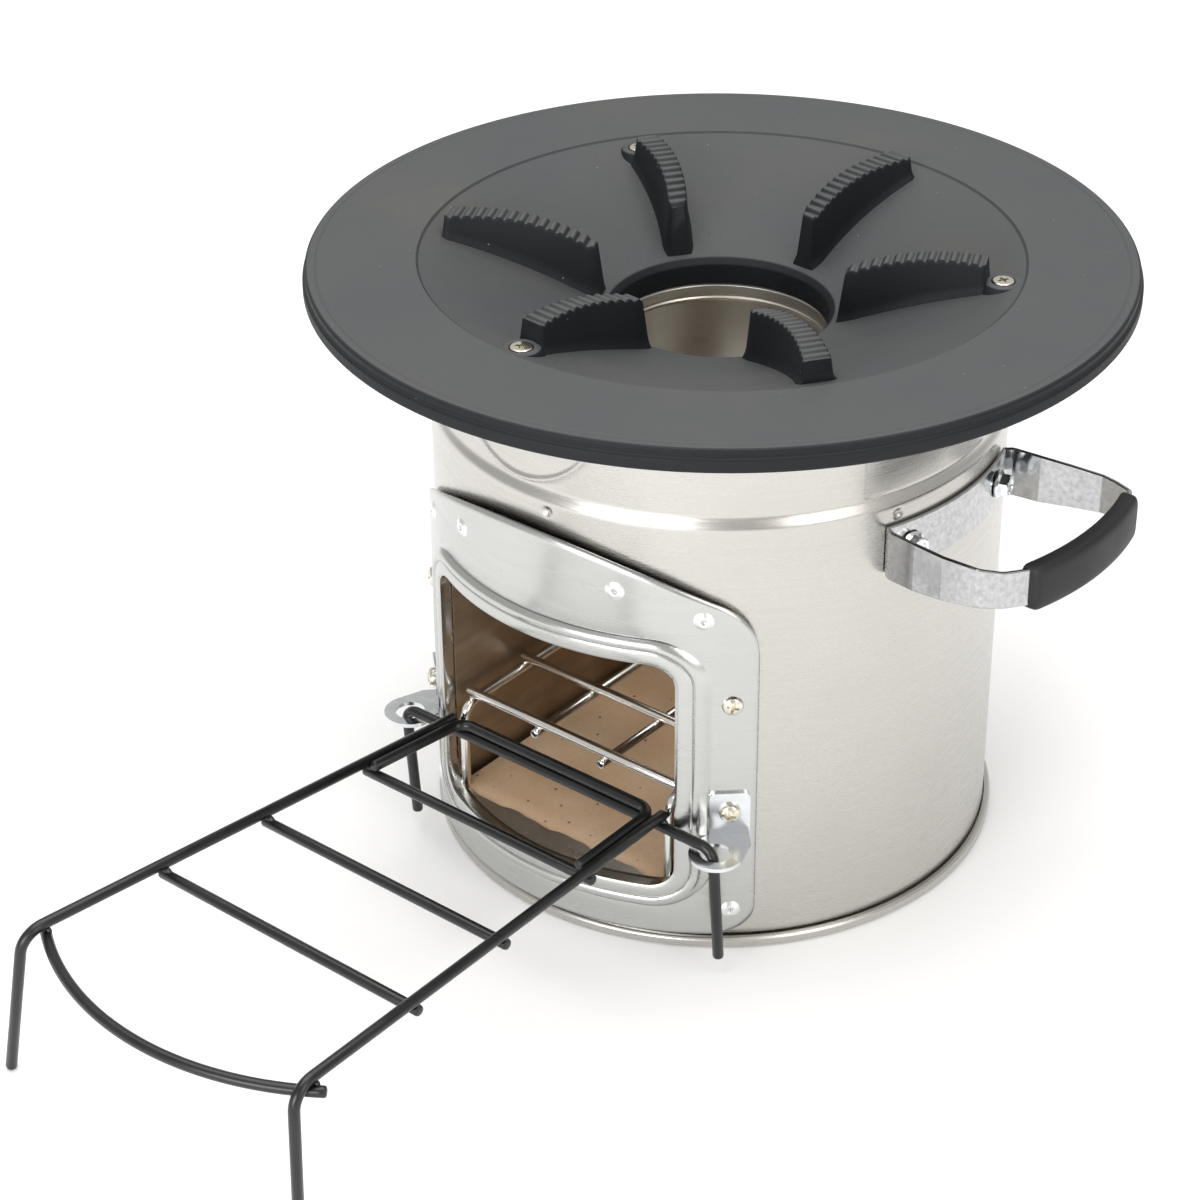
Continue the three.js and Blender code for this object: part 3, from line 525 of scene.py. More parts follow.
def heat_tinted(name):
    s = Shader(name, 0.4, 0.8)
    streaks = s.noise(1, 3, 0.5, s.scaled(12, 12, 160))
    cloud = s.noise(16, 4, 0.6)
    base = s.ramp(cloud, (0.3, (0.2, 0.145, 0.09)), (0.5, (0.33, 0.25, 0.17)), (0.75, (0.48, 0.39, 0.28)))
    s.link(s.mix(s.spread(streaks, 0, 0.45), base, (0.2, 0.155, 0.11)), "Base Color")
    s.link(s.spread(cloud, 0.34, 0.5), "Roughness")
    s.link(s.bump(streaks, 0.02), "Normal")
    return s.material


def fireclay(name):
    s = Shader(name, 0.88, 0, Specular_IOR_Level=0.25)
    cloud = s.noise(22, 4, 0.6)
    grain = s.noise(420, 3, 0.6)
    base = s.ramp(cloud, (0.3, (0.78, 0.52, 0.31)), (0.5, (0.84, 0.6, 0.39)), (0.72, (0.9, 0.68, 0.48)))
    gritty = s.mix(s.spread(grain, 0, 0.3), base, (0.66, 0.45, 0.28))
    specks = s.spread(s.cells(120), 1, 0, 0.05, 0.12)
    s.link(s.mix(specks, gritty, (0.13, 0.09, 0.06)), "Base Color")
    s.link(s.bump(grain, 0.15, 0.7), "Normal")
    return s.material


def zinc_plate(name, colour, rough, spangle=0.3, scale=190):
    """Bright plating with a fine broken sparkle."""
    s = Shader(name, rough, 1)
    flecks = s.noise(scale, 3, 0.6)
    s.link(s.mix(s.spread(flecks, 0, spangle), colour, tuple(c * 0.5 for c in colour)), "Base Color")
    s.link(s.spread(flecks, rough - 0.03, rough + 0.06), "Roughness")
    s.link(s.bump(flecks, 0.008, 0.5), "Normal")
    return s.material


def drawn_wire(name, colour, rough):
    s = Shader(name, rough, 1)
    marks = s.noise(120, 3, 0.5)
    s.link(s.mix(s.spread(marks, 0, 0.25), colour, tuple(c * 0.7 for c in colour)), "Base Color")
    s.link(s.spread(marks, rough - 0.04, rough + 0.05), "Roughness")
    return s.material


def coated_wire(name):
    s = Shader(name, 0.32, 0, Specular_IOR_Level=0.4, Coat_Weight=0.15, Coat_Roughness=0.2)
    ripple = s.noise(60, 3, 0.5)
    fine = s.noise(500, 2, 0.5)
    s.link(s.ramp(ripple, (0.3, (0.0045, 0.0048, 0.0055)), (0.7, (0.008, 0.0085, 0.0095))), "Base Color")
    s.link(s.spread(ripple, 0.28, 0.38), "Roughness")
    s.link(s.bump(fine, 0.01, 0.5, s.bump(ripple, 0.04)), "Normal")
    return s.material


def soft_plastic(name):
    s = Shader(name, 0.55, 0, Specular_IOR_Level=0.35)
    grain = s.noise(700, 3, 0.6)
    wear = s.noise(40, 3, 0.5)
    s.link(s.ramp(wear, (0.3, (0.009, 0.009, 0.01)), (0.7, (0.014, 0.014, 0.015))), "Base Color")
    s.link(s.spread(wear, 0.48, 0.6), "Roughness")
    s.link(s.bump(grain, 0.04, 0.6), "Normal")
    return s.material


SHELL = brushed_steel("shell_steel", (0.55, 0.535, 0.505), 0.27)
SURROUND = brushed_steel("surround_steel", (0.53, 0.535, 0.52), 0.24, (20, 20, 260), 0.002)
CHAMBER = brushed_steel("chamber_steel", (0.7, 0.68, 0.63), 0.36, (20, 20, 500), 0.003)
IRON = cast_iron("cast_iron")
TINTED = heat_tinted("heat_tinted_sheet")
CLAY = fireclay("fireclay")
ZINC = zinc_plate("zinc_plate", (0.78, 0.8, 0.82), 0.18, 0.2)
STRAP = zinc_plate("strap_plate", (0.54, 0.545, 0.55), 0.14, 0.6, 420)
NICKEL = zinc_plate("nickel_screw", (0.74, 0.7, 0.6), 0.22, 0.25)
RIVET = drawn_wire("rivet_alloy", (0.88, 0.88, 0.87), 0.3)
GRATE = drawn_wire("grate_wire", (0.8, 0.78, 0.75), 0.2)
COATED = coated_wire("coated_wire")
PLASTIC = soft_plastic("grip_plastic")


# ---- body ----
def dent(x, y, reach, depth):
    d = math.hypot(x, y)
    return depth * (1 + math.cos(math.pi * d / reach)) / 2 if d < reach else 0


DIMPLES = ((3.5, 218.5), (72.6, 218.5))
RING_AZ = -4.5
RING_Z = 275
RING_R = 45
SEAM_AZ = 65.5


def shell_radius(azimuth, z):
    """Outer radius at an azimuth in degrees from the front: shoulder, dimples, pressed ring and lap seam."""
    u = min(max((z - SHOULDER_Z) / SHOULDER_TALL, 0), 1)
    r = BODY_R - (BODY_R - NECK_R) * (1 - math.cos(math.pi * u)) / 2
    for az, dz in DIMPLES:
        r -= dent(math.radians(azimuth - az) * r, z - dz, 3.4, 1.2)
    across = math.hypot(math.radians(azimuth - RING_AZ) * r, z - RING_Z)
    r += 0.75 * math.exp(-((across - RING_R) / 1.1) ** 2)
    if across < RING_R:
        r -= 0.35 * min((RING_R - across) / 2, 1)
    if z > SHOULDER_Z + SHOULDER_TALL and SEAM_AZ < azimuth < SEAM_AZ + 40:
        r += 0.6 * (1 - (azimuth - SEAM_AZ) / 40)
    return r


def steps_between(start, end, pitch):
    count = max(1, round((end - start) / pitch))
    return [start + (end - start) * k / count for k in range(count)]


def shell():
    """The body sheet as a grid over azimuth and height, open at the fuel door."""
    door = math.degrees(math.asin(DOOR_CUT_HALF / BODY_R))
    columns = steps_between(-180, -door, 1.6) + steps_between(-door, -26, 0.8)
    columns += steps_between(-26, 17, 0.4) + steps_between(17, door, 0.8)
    columns += steps_between(door, SEAM_AZ - 0.05, 1.6) + [SEAM_AZ - 0.05]
    columns += steps_between(SEAM_AZ + 0.05, 70, 1.2) + steps_between(70, 75, 0.35)
    columns += steps_between(75, 180, 1.6)
    rows = steps_between(BODY_BOTTOM, DOOR_CUT_LOW, 8) + steps_between(DOOR_CUT_LOW, DOOR_CUT_HIGH, 16)
    rows += steps_between(DOOR_CUT_HIGH, 214, 8) + steps_between(214, 231, 0.7)
    rows += steps_between(231, BODY_TOP, 1) + [BODY_TOP]
    verts = []
    for z in rows:
        for azimuth in columns:
            a = math.radians(azimuth)
            r = shell_radius(azimuth, z)
            verts.append((r * math.sin(a), -r * math.cos(a), z))
    n = len(columns)
    faces = []
    for i in range(len(rows) - 1):
        for k in range(n):
            middle = (columns[k] + (columns[k + 1] if k + 1 < n else 180)) / 2
            if abs(middle) < door and DOOR_CUT_LOW <= rows[i] < DOOR_CUT_HIGH - 1:
                continue
            j = (k + 1) % n
            faces.append([i * n + k, i * n + j, (i + 1) * n + j, (i + 1) * n + k])
    obj = piece("shell_skin", verts, faces, SHELL, sharp=50, closed=False)
    thick = obj.modifiers.new("sheet", "SOLIDIFY")
    thick.thickness = SHEET * MM
    thick.offset = -1
    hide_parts("outer_shell")


def base_pan():
    lip = BODY_R + GAP
    profile = rounded([
        (0, 0, 0), (lip + 1.4, 0, 2), (lip + 3.2, 1.2, 1.5), (lip + 3.2, 4.6, 1.5), (lip + 2.2, 5.8, 0.8),
        (lip, 5.8, 0.5), (lip, 1.6, 0), (0, 1.6, 0),
    ])
    pan = lathe("base_pan_skin", profile, SHELL, 256)
    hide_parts("base_pan")


# ---- cooktop ----
def dish_top(r):
    full = PLATE_TOP - DISH_STEP
    return full - (DISH_R - r) / (DISH_R - HOLE_R) * (full - HOLE_TOP)


def cook_screw_spots():
    turns = [math.radians(CAST_TURN + a) for a in COOK_SCREW_TURNS]
    return [(COOK_SCREW_R * math.cos(t), COOK_SCREW_R * math.sin(t)) for t in turns]


def cooktop_plate():
    edge = PLATE_TOP - PLATE_EDGE
    under = PLATE_TOP - PLATE_THICK
    lip = PLATE_R - 0.8
    profile = rounded([
        (HOLE_R, COLLAR_BOTTOM, 0), (COLLAR_R, COLLAR_BOTTOM, 0), (COLLAR_FLARE_R, COLLAR_FLARE_Z, 3),
        (UNDER_FLAT_R, under, 6), (183, under, 1),
        (185, edge, 1), (lip, edge, 1.2), (PLATE_R, edge + 1.2, 0.8), (PLATE_R, edge + 5.6, 0.8),
        (lip, edge + 6.5, 0.4), (lip - 0.5, edge + 6.9, 0.4), (lip - 0.3, PLATE_TOP - 1.1, 1),
        (lip - 1.6, PLATE_TOP, 1), (184.6, PLATE_TOP - 0.05, 0.4), (184, PLATE_TOP - 0.3, 0.3),
        (183.2, PLATE_TOP - 0.05, 0.4), (DISH_R + 1.2, PLATE_TOP, 0.8), (DISH_R, PLATE_TOP - DISH_STEP, 0.8),
        (HOLE_R + 2.4, HOLE_TOP + 0.7, 2.6), (HOLE_R, HOLE_TOP - 2.2, 1.5), (HOLE_R, COLLAR_BOTTOM, 0),
    ])
    plate = lathe("cooktop_plate", profile, IRON, 320, sharp=50)
    spots = cook_screw_spots()
    drills = [lathe(f"drill_{i}", [(0, 270), (6.2, 270), (6.2, 300), (0, 300)], IRON, 40, None, at=(x, y, 0))
              for i, (x, y) in enumerate(spots)]
    carve(plate, *drills)
    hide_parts("cooktop")
    for i, (x, y) in enumerate(spots):
        boss = lathe(f"screw_boss_{i + 1}", rounded([
            (2.6, 275, 0), (2.6, 287.4, 0.3), (5.5, 290.5, 0.3), (6.6, 290.9, 0.8), (8.6, 290.2, 1.2),
            (10.8, 286.2, 0), (10.8, 280, 0), (5.6, 275, 0), (2.6, 275, 0),
        ]), IRON, 64, at=(x, y, 0))


def fin(index):
    """One serrated pot support: drafted sides, flared foot, ridged crest, bowed sideways in plan."""
    offset = -150 + 60 * index
    screwed = offset % 360 in COOK_SCREW_TURNS
    r_out = FIN_OUT_SHORT if screwed else FIN_OUT_LONG
    bow_sign = 1 if offset > 0 else -1
    span = FIN_OUT_LONG - FIN_IN
    turn = math.radians(CAST_TURN + offset)

    def centre(r):
        u = (r - FIN_IN) / span
        return bow_sign * (FIN_BOW * 4 * u * (1 - u) - FIN_LEAN * (1 - u))

    def crest(r):
        wave = ((r_out - r) / FIN_PITCH) % 1
        tooth = FIN_TOOTH * (0.5 - 0.5 * math.cos(2 * math.pi * wave)) ** 1.4
        return FIN_TOP - FIN_DROP * max(0, FIN_LEVEL_R - r) ** 2 - tooth

    def half_width(r, z):
        draft = 1 + (FIN_TOP + 3 - z) / (FIN_TOP - COLLAR_BOTTOM) * FIN_DRAFT
        return (FIN_HALF_IN + FIN_HALF_GROW * (r - FIN_IN) / span) * draft

    stations = [FIN_IN + 0.4 + t for t in (0, 0.5, 1.1, 1.9)]
    stations += steps_between(FIN_IN + 3, r_out - 2.4, 0.55) + [r_out - t for t in (2.4, 1.2, 0.5, 0)]
    verts = []
    rows = []
    for r in stations:
        top = crest(r)
        foot = dish_top(r) - FIN_SINK
        near_in = max(0, 1 - (r - stations[0]) / 6)
        near_out = max(0, 1 - (r_out - r) / 2)
        end_soft = 1 - 0.32 * near_in ** 2 - 0.16 * near_out ** 2
        half = []
        for k in range(FIN_LEVELS + 1):
            t = k / FIN_LEVELS
            z = foot + (top - foot) * (1 - (1 - t) ** 1.6)
            w = half_width(r, z) * end_soft
            rise = z - dish_top(r)
            if rise < FIN_FLARE_TALL:
                w += FIN_FLARE * (1 - max(rise, 0) / FIN_FLARE_TALL) ** 2
            near_top = top - z
            if near_top < FIN_ROUND:
                w -= FIN_ROUND - math.sqrt(max(0, FIN_ROUND ** 2 - (FIN_ROUND - near_top) ** 2))
            lean = -3 * near_in * (top - z) / (top - foot) + 1.2 * near_out * (top - z) / (top - foot)
            half.append((r + lean, w, z))
        ring = [(x, centre(r) - w, z) for x, w, z in half]
        ring += [(x, centre(r) + w, z) for x, w, z in reversed(half)]
        rows.append(list(range(len(verts), len(verts) + len(ring))))
        verts += ring
    faces = [rows[0][::-1], rows[-1]]
    for a, b in zip(rows, rows[1:]):
        m = len(a)
        for k in range(m):
            j = (k + 1) % m
            faces.append([a[k], a[j], b[j], b[k]])
    c, s = math.cos(turn), math.sin(turn)
    verts = [(c * x - s * y, s * x + c * y, z) for x, y, z in verts]
    obj = piece(f"cooktop_fin_{index + 1}_skin", verts, faces, IRON, sharp=48)
    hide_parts(f"cooktop_fin_{index + 1}")


def cross_cutter(name, reach, width, z0, z1):
    """A tapering cross recess tool."""
    arm = width / 2
    plan = []
    for quarter in range(4):
        a = quarter * math.pi / 2
        for x, y in ((reach, -arm), (reach, arm), (arm * 1.25, arm * 1.25)):
            plan.append((x * math.cos(a) - y * math.sin(a), x * math.sin(a) + y * math.cos(a)))
    return extruded(name, plan, z0, z1, NICKEL, body=None)


def turned_out(obj, azimuth_turn, x, y, z):
    """Stands a piece made along +Z out of the wall: its axis then points along -Y turned by azimuth_turn."""
    obj.rotation_mode = "XYZ"
    obj.rotation_euler = (math.pi / 2, 0, azimuth_turn)
    obj.location = (x * MM, y * MM, z * MM)


def settle(obj):
    """Bakes an object's placement into its mesh and lets it ride on the stove."""
    bpy.context.view_layer.update()
    obj.data.transform(obj.matrix_world)
    obj.matrix_world.identity()
    obj.location = (0, 0, 0)
    obj.rotation_euler = (0, 0, 0)
    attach(obj, "stove")


def cooktop_screws():
    for i, (x, y) in enumerate(cook_screw_spots()):
        profile = rounded([
            (0, 276, 0), (2.3, 276, 0), (2.3, 287.7, 0), (5.1, 290.5, 0.3), (4.6, 290.95, 0.3), (0, 291.2, 0),
        ])
        head = lathe(f"cooktop_screw_{i + 1}_skin", profile, NICKEL, 48, None)
        cutter = cross_cutter("cross", 2.7, 1.2, 289.3, 292)
        cutter.rotation_euler.z = 0.4 + 0.7 * i
        carve(head, cutter)
        head.location = (x * MM, y * MM, 0)
        settle(head)
        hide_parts(f"cooktop_screw_{i + 1}")


# ---- fire path ----
def chamber():
    r = CHAMBER_R
    brim = COLLAR_BOTTOM - 0.5
    foot = high("firebox").z
    profile = rounded([
        (r - 1, foot - 0.8, 0), (r, foot - 0.8, 0), (r, brim - 1.4, 0.5), (r + 2.5, brim - 1.2, 0.4),
        (r + 2.5, brim, 0.3), (r - 0.2, brim, 0.8), (r - 1.3, brim - 1.2, 0.8), (r - 1.5, brim - 5.6, 0.8),
        (r - 0.9, brim - 6.6, 0.5), (r - 1.6, brim - 7.6, 0.6), (r - 1, brim - 9, 1), (r - 1, foot - 0.8, 0),
    ])
    tube = lathe("chamber_skin", profile, CHAMBER, 160)
    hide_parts("combustion_chamber")


# ---- fuel door surround ----
def frame_y(x, out=0):
    """Y of the frame sheet at x, out millimetres in front of its back face."""
    return -(FRAME_C + math.sqrt((FRAME_R + out) ** 2 - x * x))


def arc(cx, cz, r, start, end, steps=16):
    return [(cx + r * math.cos(a), cz + r * math.sin(a))
            for a in (start + (end - start) * k / steps for k in range(steps + 1))]


def door_outline(out):
    """The door opening, grown outwards by out millimetres."""
    half = DOOR_HALF + out
    bottom = DOOR_LOW - out
    top = DOOR_HIGH + out
    c = DOOR_CORNER + out
    q = math.pi / 2
    return (arc(half - c, bottom + c, c, -q, 0) + arc(half - c, top - c, c, 0, q)
            + arc(c - half, top - c, c, q, 2 * q) + arc(c - half, bottom + c, c, 2 * q, 3 * q))


def frame_outline():
    w = FRAME_HALF
    c = FRAME_CORNER
    a = math.acos(FRAME_JOIN_X / FRAME_CROWN_R)
    zc = FRAME_CROWN - FRAME_CROWN_R
    join_z = zc + FRAME_CROWN_R * math.sin(a)
    bend = [((1 - t) ** 2 * w + 2 * t * (1 - t) * w + t * t * FRAME_JOIN_X,
             (1 - t) ** 2 * FRAME_BEND_LOW + 2 * t * (1 - t) * FRAME_BEND_HIGH + t * t * join_z)
            for t in (k / 16 for k in range(17))]
    q = math.pi / 2
    right = arc(w - c, FRAME_LOW + c, c, -q, 0) + bend
    crown = arc(0, zc, FRAME_CROWN_R, a, math.pi - a, 60)
    left = [(-x, z) for x, z in reversed(right)]
    return right + crown[1:-1] + left


def ring_at(outline, centre, angles):
    """Where rays from the centre cross a closed outline."""
    cx, cz = centre
    out = []
    n = len(outline)
    spans = []
    for k in range(n):
        x0, z0 = outline[k]
        x1, z1 = outline[(k + 1) % n]
        spans.append((x0 - cx, z0 - cz, x1 - x0, z1 - z0))
    for a in angles:
        dx, dz = math.cos(a), math.sin(a)
        best = None
        for px, pz, ex, ez in spans:
            det = dx * -ez + dz * ex
            if abs(det) < 1e-12:
                continue
            t = (px * -ez + pz * ex) / det
            u = (dx * pz - dz * px) / det
            if t > 0 and -1e-6 <= u <= 1 + 1e-6:
                best = t
                break
        out.append((cx + best * dx, cz + best * dz))
    return out


def bead_height(out):
    """Pressed profile round the opening: a flat lip, a groove, a raised bead and the flat sheet."""
    if out < 5.2:
        return 1.7 + 0.3 * math.sin(math.pi * out / 5.2)
    if out < 6.4:
        return 1.7 - 0.8 * math.sin(math.pi * (out - 5.2) / 1.2)
    if out < 11.2:
        u = (out - 6.4) / 4.8
        return 1.7 * (1 - u) + 1.35 * math.sin(math.pi * u) ** 0.8
    return 0


def door_frame():
    centre = (0, (DOOR_LOW + DOOR_HIGH) / 2)
    corners = []
    for x, z in ((DOOR_HALF, DOOR_LOW), (DOOR_HALF, DOOR_HIGH), (FRAME_HALF, FRAME_LOW), (82, 187.4)):
        for sx in (-1, 1):
            corners.append(math.atan2(z - centre[1], sx * x))
    angles = set(k * 2 * math.pi / 300 for k in range(300))
    for a in corners:
        angles.update((a + d / 300) % (2 * math.pi) for d in range(-36, 37, 2))
    angles = sorted(angles)
    rings = []
    outs = [0, 0.4, 0.9, 1.6, 2.6, 3.6, 4.4, 5, 5.3, 5.6, 5.8, 6, 6.3]
    outs += [6.6 + 0.4 * k for k in range(12)] + [11.3, 12]
    for out in outs:
        rings.append([(x, z, bead_height(out)) for x, z in ring_at(door_outline(out), centre, angles)])
    rim = ring_at(frame_outline(), centre, angles)
    last = rings[-1]
    for t in (0.25, 0.5, 0.75, 0.9, 1):
        rings.append([(a[0] + (b[0] - a[0]) * t, a[1] + (b[1] - a[1]) * t, 0) for a, b in zip(last, rim)])
    lip = rings[0]
    inner = [[(x, z, h) for x, z, _ in lip] for h in (-4.5, -2.5, 0, 1)]
    rings = inner + rings
    verts = [(x, frame_y(x, h + FRAME_SHEET), z) for ring in rings for x, z, h in ring]
    n = len(angles)
    faces = []
    for i in range(len(rings) - 1):
        for k in range(n):
            j = (k + 1) % n
            faces.append([i * n + k, i * n + j, (i + 1) * n + j, (i + 1) * n + k])
    obj = piece("door_frame_skin", verts, faces, SURROUND, sharp=60, closed=False)
    thick = obj.modifiers.new("sheet", "SOLIDIFY")
    thick.thickness = 1 * MM
    thick.offset = -1
    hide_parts("door_frame")


def frame_seat(azimuth_degrees):
    a = math.radians(azimuth_degrees)
    r_out = FRAME_R + FRAME_SHEET
    s = FRAME_C * math.cos(a) + math.sqrt(r_out ** 2 - (FRAME_C * math.sin(a)) ** 2)
    x = s * math.sin(a)
    return x, -s * math.cos(a), math.asin(x / r_out)


def rivets():
    profile = rounded([
        (0, -5, 0), (2.2, -5, 0), (2.2, 0.1, 0), (4.8, 0.1, 0.2), (4.75, 0.8, 0.4), (3.5, 1.5, 0.6),
        (2.5, 2, 0.5),
        (1.5, 2.1, 0.3), (1.15, 1.6, 0.2), (1.1, -0.2, 0.1), (0, -0.3, 0),
    ])
    for i, (azimuth, z) in enumerate(FRAME_RIVETS):
        x, y, tilt = frame_seat(azimuth)
        obj = lathe(f"frame_rivet_{i + 1}_skin", profile, RIVET, 48, None)
        turned_out(obj, tilt, x, y, z)
        settle(obj)
        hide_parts(f"frame_rivet_{i + 1}")


def pan_screw(name, node, azimuth, z, lift, spin):
    profile = rounded([
        (0, -7, 0), (2.3, -7, 0), (2.3, 0.05, 0), (4.9, 0.05, 0.2), (4.95, 1.1, 0.5), (4.2, 2.4, 1),
        (2.6, 3.1, 1), (0, 3.3, 0),
    ])
    obj = lathe(name, profile, NICKEL, 56, None)
    cutter = cross_cutter("cross", 2.9, 1.1, 1.3, 5)
    cutter.rotation_euler.z = spin
    carve(obj, cutter)
    x, y, tilt = frame_seat(azimuth)
    turned_out(obj, tilt, x + lift * math.sin(tilt), y - lift * math.cos(tilt), z)
    settle(obj)
    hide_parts(node)


def frame_screws():
    for i, (azimuth, z) in enumerate(FRAME_SCREWS):
        pan_screw(f"frame_screw_{i + 1}_skin", f"frame_screw_{i + 1}", azimuth, z, 0, 0.3 + i)
    lug_azimuth = math.degrees(math.atan2(LUG_X, -frame_y(LUG_X, FRAME_SHEET)))
    for side, tag in ((-1, "left"), (1, "right")):
        node = f"lug_screw_{tag}"
        pan_screw(node + "_skin", node, side * lug_azimuth, LUG_SCREW_Z, 2.4, 0.5 - side)


# ---- log rack ----
def along_rail(y, back, front):
    return back + (front - back) * (y - RACK_ROD_Y) / (RAIL_FRONT_Y - RACK_ROD_Y)


def rail_x(y):
    return along_rail(y, RAIL_BACK_X, RAIL_FRONT_X)


def skew_x(y):
    """The rack is a little out of square: its middle drifts to one side towards the front."""
    return along_rail(y, RACK_SKEW_BACK, RACK_SKEW_FRONT)


def rail_z(y):
    return along_rail(y, RACK_ROD_Z + 2 * WIRE_R + GAP, RAIL_FRONT_Z)


def rack_wire(node, path):
    obj = wire(node + "_skin", path, WIRE_R, COATED, "log_rack")
    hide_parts(node)


def weld(name, centre, along, body, material, size=(3.4, 1.5, 1.9)):
    """A small bead of weld where two wires cross."""
    bm = bmesh.new()
    bmesh.ops.create_icosphere(bm, subdivisions=3, radius=1)
    a = math.atan2(along[1], along[0])
    c, s = math.cos(a), math.sin(a)
    verts = []
    for v in bm.verts:
        x, y, z = v.co.x * size[0], v.co.y * size[1], v.co.z * size[2]
        verts.append((centre[0] + x * c - y * s, centre[1] + x * s + y * c, centre[2] + z))
    bm.verts.index_update()
    faces = [[v.index for v in f.verts] for f in bm.faces]
    bm.free()
    piece(name, verts, faces, material, body, 80)


def log_rack():
    off = 2 * WIRE_R + GAP
    for side, tag in ((-1, "left"), (1, "right")):
        y0 = RACK_ROD_Y + 1.5
        front = side * RAIL_FRONT_X + RACK_SKEW_FRONT
        rack_wire(f"rack_rail_{tag}", bent_path([
            (side * rail_x(y0) + skew_x(y0), y0, rail_z(y0)), (front, RAIL_FRONT_Y, RAIL_FRONT_Z),
            (front + (side - 1) * RACK_LEG_SPLAY, RAIL_FRONT_Y - RACK_LEG_RAKE, 0.3)], 11))
    pegs = []
    for side in (-1, 1):
        x = side * RACK_PEG_X + RACK_SKEW_BACK
        pegs.append([(x + RACK_PEG_DRIFT[0], RACK_PEG_Y + RACK_PEG_DRIFT[1], RACK_PEG_END),
                     (x, RACK_PEG_Y, RACK_ROD_Z), (x - side * 22, RACK_PEG_Y, RACK_ROD_Z),
                     (x - side * 42, RACK_ROD_Y, RACK_ROD_Z)])
    rack_wire("rack_peg_rod", bent_path(pegs[0] + pegs[1][::-1], 7))
    y_bar = RACK_ROD_Y + 0.5
    y_end = RACK_BARS_Y[0] - 2
    loop = [(side * (rail_x(y) - off) + skew_x(y), y, rail_z(y))
            for side, y in ((-1, y_end), (-1, y_bar), (1, y_bar), (1, y_end))]
    rack_wire("rack_loop", bent_path(loop, 8))
    for i, y in enumerate(RACK_BARS_Y):
        reach = rail_x(y) + RACK_BAR_OVER
        middle = skew_x(y)
        z = rail_z(y) - off
        rack_wire(f"rack_bar_{i + 1}", [Vector((middle + reach * u, y, z)) for u in (-1, -0.5, 0, 0.5, 1)])
        for side, tag in ((-1, "left"), (1, "right")):
            weld(f"rack_weld_{i + 1}_{tag}", (middle + side * (rail_x(y) - 1.5), y, z + WIRE_R), (1, 0),
                 "log_rack", COATED)
    y0 = RAIL_FRONT_Y + RACK_BOW_BACK
    z = rail_z(y0) - off - GAP
    reach = rail_x(y0) + 2 * RACK_BAR_OVER
    middle = skew_x(y0) + RACK_BAR_OVER
    radius = (reach ** 2 + RACK_BOW_SAG ** 2) / (2 * RACK_BOW_SAG)
    a = math.asin(reach / radius)
    count = 48
    angles = [-a + 2 * a * k / count for k in range(count + 1)]
    rack_wire("rack_bow", [
        Vector((middle + radius * math.sin(b), y0 + radius * (math.cos(a) - math.cos(b)), z))
        for b in angles
    ])
    for side, tag in ((-1, "left"), (1, "right")):
        bow_x = side * rail_x(y0) + skew_x(y0)
        weld(f"rack_weld_bow_{tag}", (bow_x, y0 - 1, z + WIRE_R), (1, 0), "log_rack", COATED)
        rod_x = side * rail_x(RACK_ROD_Y) + RACK_SKEW_BACK
        weld(f"rack_weld_rod_{tag}", (rod_x, RACK_ROD_Y, RACK_ROD_Z + WIRE_R), (1, 0), "log_rack", COATED)


# ---- fire grate ----
def grate_wire(node, corners, bend):
    obj = wire(node + "_skin", bent_path(corners, bend), GRATE_R, GRATE, "fire_grate")
    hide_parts(node)


def fire_grate():
    foot = TILE_TOP + GAP
    for side, tag in ((-1, "left"), (1, "right")):
        x = side * GRATE_HALF
        grate_wire(f"grate_side_{tag}", [
            (x, GRATE_FRONT, foot), (x, GRATE_FRONT, GRATE_Z),
            (x, GRATE_BACK, GRATE_Z), (x, GRATE_BACK, foot)], GRATE_BEND)
        start = low(f"grate_run_{tag}").y
        end = high(f"grate_run_{tag}").y
        x = side * GRATE_RUN_X
        grate_wire(f"grate_run_{tag}", [(x, start, GRATE_Z), (x, 0, GRATE_Z), (x, end, GRATE_Z)], 1)
    for i in range(4):
        y = GRATE_FRONT + GRATE_CROSS_IN + GRATE_PITCH * i
        reach = GRATE_HALF + GRATE_CROSS_OVER
        z = GRATE_Z + 2 * GRATE_R + GAP
        grate_wire(f"grate_cross_{i + 1}", [(-reach, y, z), (0, y, z), (reach, y, z)], 1)
        for k, x in enumerate((-GRATE_HALF, -GRATE_RUN_X, GRATE_RUN_X, GRATE_HALF)):
            weld(f"grate_weld_{i + 1}_{k + 1}", (x, y, z - GRATE_R), (1, 0), "fire_grate", GRATE,
                 (2.6, 1.2, 1.3))


# ---- handles ----
def bar_point(t):
    """A point on the bowed bar that carries the grip, t from its middle."""
    bow_r = (BAR_HALF ** 2 + STRAP_BOW ** 2) / (2 * STRAP_BOW)
    rise = math.sqrt(bow_r ** 2 - t * t) - math.sqrt(bow_r ** 2 - BAR_HALF ** 2)
    return STRAP_REACH + rise, BAR_MID_Y + t


